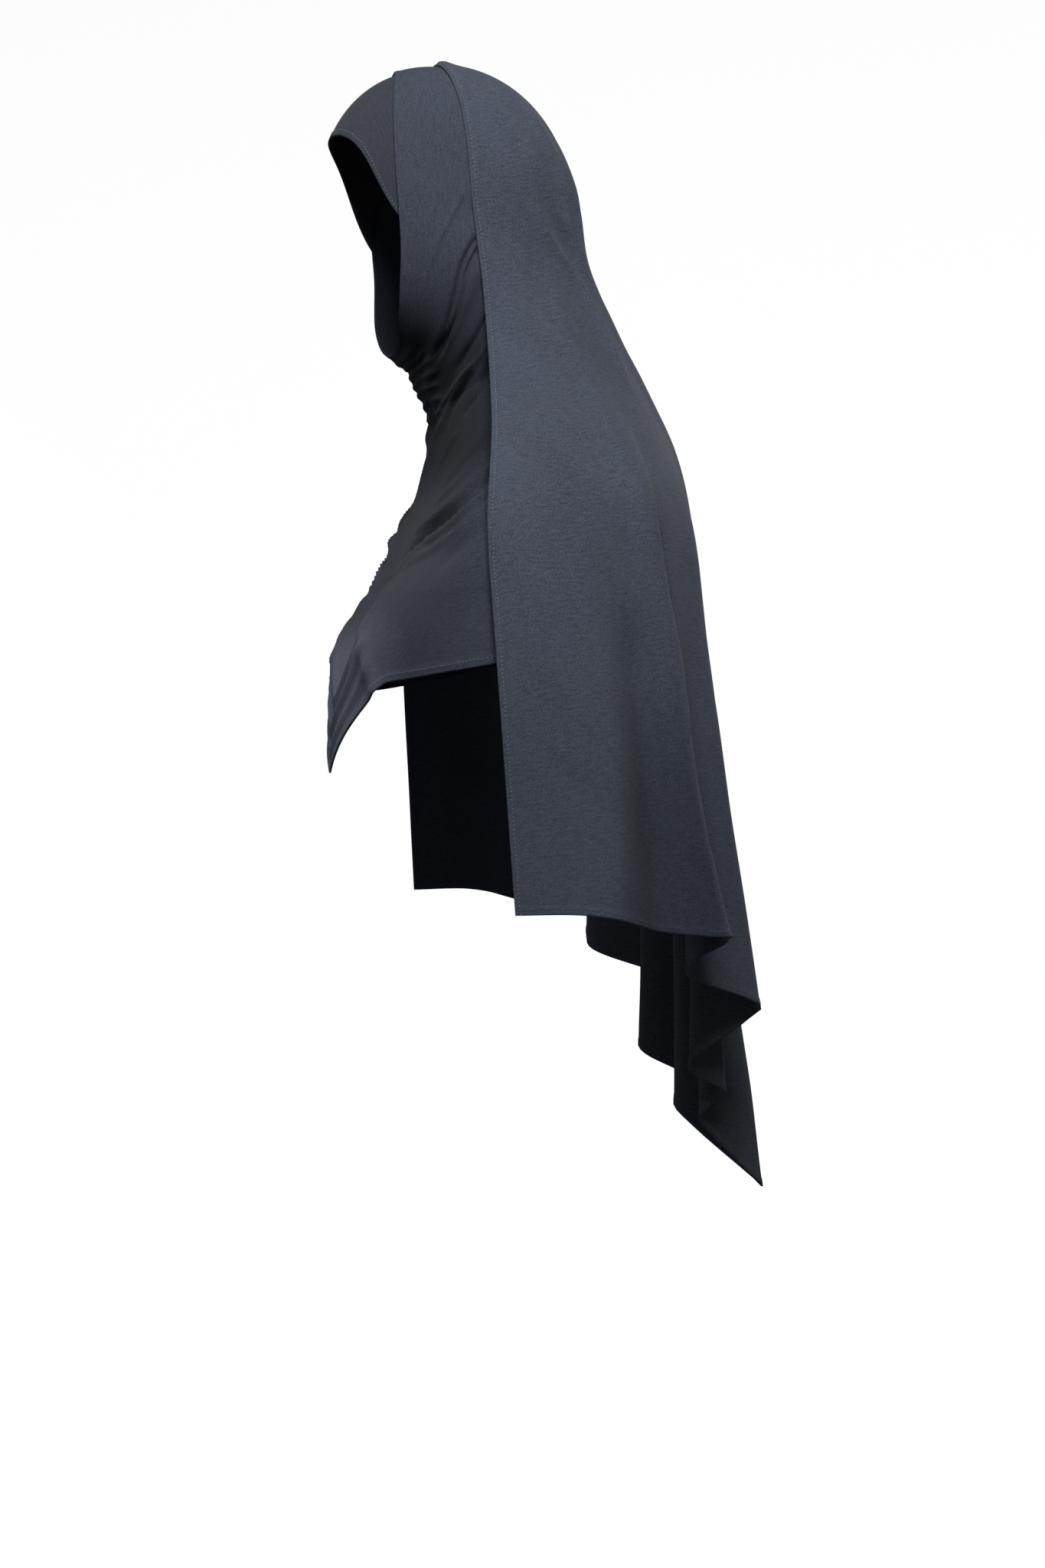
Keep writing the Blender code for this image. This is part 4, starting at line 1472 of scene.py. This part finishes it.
    def build(self) -> bpy.types.Object:
        """Makes the shawl and the stitches of its front edge and its hem."""
        piece, grid = self.make()
        cloth = self.surface(piece)
        points = grid.points
        left, right = points[2:, 0][::-1], points[2:, -1]
        edge = np.concatenate((left, right))
        inward = np.concatenate((points[2:, 8][::-1] - left, points[2:, -9] - right))
        normals = grid.normals()
        outward = np.concatenate((normals[2:, 6][::-1], normals[2:, -7]))
        front = StitchRow("shawl_edge_stitches", self.edge_hem - self.stitch_inset)
        low_inset = self.low_hem - self.low_stitch_inset
        low = StitchRow("shawl_hem_stitches", low_inset, finish=DARK_THREAD)
        rows = [
            front.sew(edge, inward, outward, cloth),
            low.sew(points[-1], points[-9] - points[-1], normals[-6], cloth),
        ]
        self.declare(piece, rows)
        return piece


def fold_lift(
    folds: Sequence[MainFold],
    side: np.ndarray,
    along: np.ndarray,
    head_width: float,
    rise: float = 0.2,
) -> np.ndarray:
    """How far the main folds lift the cloth at the shares side and along.

    Args:
        folds: the folds.
        side: the side share at each place.
        along: the along share at each place.
        head_width: what the folds' heights are shares of.
        rise: the share of its length in which a fold rises.

    Returns:
        The lift at each place.
    """
    height = np.zeros_like(along)
    for fold in folds:
        start = np.array((fold.side_from, fold.along_from))
        run = np.array((fold.side_to, fold.along_to)) - start
        away = np.stack((side, along), 1) - start
        share = away @ run / (run @ run)
        gap = np.abs(away[:, 0] * run[1] - away[:, 1] * run[0]) / np.linalg.norm(run)
        fade = smooth_step(share / rise) * FOLD_END.fall(share)
        height += fold.height * head_width * fade * np.exp(-((gap / fold.width) ** 2))
    return height


def sheet_normals(place: Callable, u: np.ndarray, v: np.ndarray) -> np.ndarray:
    """The directions across a sheet at the shares u and v, from places close beside them."""
    step = 0.004
    along_u = place(u + step, v) - place(u - step, v)
    along_v = place(u, v + step) - place(u, v - step)
    normals = np.cross(along_u, along_v)
    return normals / np.maximum(np.linalg.norm(normals, axis=1), 1e-12)[:, None]


def drift(points: np.ndarray, size: float, seed: int) -> np.ndarray:
    """A soft, even unevenness of about -1 to 1, the same at each run.

    Args:
        points: the places.
        size: how wide its swells are, in metres.
        seed: which of its patterns.

    Returns:
        The value at each place.
    """
    shift = Vector((seed * 3.1, seed * 1.7, seed * 2.3))
    flat = points.reshape(-1, 3) / size
    values = [noise.noise(Vector(point) + shift) for point in flat]
    return np.array(values).reshape(points.shape[:-1])


# The studio


class SoftBox(NamedTuple):
    """One soft square light.

    Attributes:
        name: the light's name.
        place: where it hangs.
        aim: what it points at.
        size: the side of its square.
        power: its power, in watts.
    """

    name: str
    place: tuple[float, float, float]
    aim: tuple[float, float, float]
    size: float
    power: float

    def hang(self) -> bpy.types.Object:
        """Makes the light, which the camera doesn't see."""
        data = bpy.data.lights.new(self.name, "AREA")
        data.shape = "SQUARE"
        data.size = self.size
        data.energy = self.power
        light = bpy.data.objects.new(self.name, data)
        light.location = self.place
        toward = Vector(self.aim) - Vector(self.place)
        light.rotation_euler = toward.to_track_quat("-Z", "Y").to_euler()
        light.visible_camera = False
        bpy.context.scene.collection.objects.link(light)
        return light


@dataclass
class Studio:
    """A white sweep with one strong soft light and two dim ones, and a camera to the left side."""

    azimuth: float = 78.0
    distance: float = 2.0
    target: tuple[float, float, float] = (0.0, 0.069, -0.579)
    metres_a_pixel: float = 0.00063
    floor_height: float = -1.62
    floor_radius: float = 3.4
    wall_height: float = 3.2
    corner: float = 1.4
    corner_steps: int = 12
    round_steps: int = 72
    sweep_colour: tuple[float, float, float] = (0.80, 0.80, 0.81)
    sweep_glow: float = 0.80
    room_light: float = 0.10
    lights: tuple[SoftBox, ...] = (
        SoftBox("key", (1.39, -0.18, 0.82), (0.05, 0.05, -0.35), 0.8, 37.0),
        SoftBox("front", (-0.6, -1.8, 0.6), (0.0, 0.0, -0.45), 1.0, 6.0),
        SoftBox("back", (-1.5, 1.5, 0.6), (0.0, 0.1, -0.45), 1.0, 12.0),
    )

    def camera(self) -> bpy.types.Object:
        """Makes the camera, level, and turned to the wearer's left side."""
        turn = math.radians(self.azimuth)
        back = Vector((math.sin(turn), -math.cos(turn), 0.0))
        data = bpy.data.cameras.new("camera")
        data.sensor_width = 36.0
        data.lens = data.sensor_width * self.distance / (self.metres_a_pixel * PHOTO_HEIGHT)
        data.clip_start, data.clip_end = 0.05, 40.0
        camera = bpy.data.objects.new("camera", data)
        camera.location = Vector(self.target) + back * self.distance
        camera.rotation_euler = (-back).to_track_quat("-Z", "Y").to_euler()
        bpy.context.scene.collection.objects.link(camera)
        bpy.context.scene.camera = camera
        return camera

    def sweep(self) -> bpy.types.Object:
        """Makes the floor, which turns up all round into a wall."""
        shape = bmesh.new()
        flat = self.floor_radius - self.corner
        profile = [(0.001, 0.0), (flat, 0.0)]
        for step in range(1, self.corner_steps + 1):
            angle = step / self.corner_steps * math.pi / 2
            out, up = self.corner * math.sin(angle), self.corner * math.cos(angle)
            profile.append((flat + out, self.corner - up))
        profile.append((self.floor_radius, self.wall_height))
        verts = [shape.verts.new((x, 0.0, z + self.floor_height)) for x, z in profile]
        edges = [shape.edges.new(pair) for pair in zip(verts, verts[1:])]
        bmesh.ops.spin(
            shape,
            geom=verts + edges,
            cent=(0.0, 0.0, 0.0),
            axis=(0.0, 0.0, 1.0),
            angle=2 * math.pi,
            steps=self.round_steps,
            use_merge=True,
        )
        bmesh.ops.remove_doubles(shape, verts=shape.verts, dist=0.0005)
        bmesh.ops.recalc_face_normals(shape, faces=shape.faces)
        sweep = new_piece("sweep", shape)
        material, nodes, shader = new_material("sweep")
        nodes.feed(
            shader,
            {
                "Base Color": (*self.sweep_colour, 1.0),
                "Roughness": 1.0,
                "Specular IOR Level": 0.0,
                "Emission Color": (1.0, 1.0, 1.0, 1.0),
                "Emission Strength": self.sweep_glow,
            },
        )
        sweep.data.materials.append(material)
        sweep.visible_diffuse = False
        sweep.visible_glossy = False
        sweep.visible_shadow = False
        return sweep

    def world(self) -> None:
        """Fills the room with even, dim light."""
        world = bpy.data.worlds.new("room")
        world.use_nodes = True
        background = world.node_tree.nodes["Background"]
        background.inputs["Color"].default_value = (1.0, 1.0, 1.0, 1.0)
        background.inputs["Strength"].default_value = self.room_light
        bpy.context.scene.world = world

    def build(self) -> None:
        """Sets up the studio."""
        bpy.context.scene.view_settings.view_transform = "Standard"
        self.camera()
        self.sweep()
        self.world()
        for light in self.lights:
            light.hang()


def main() -> None:
    """Builds the hijab's pieces and the studio."""
    logging.basicConfig(level=logging.INFO, format="%(name)s: %(message)s")
    UnderCap().build()
    NeckWrap().build()
    OuterShawl().build()
    Studio().build()


if __name__ == "__main__":
    main()
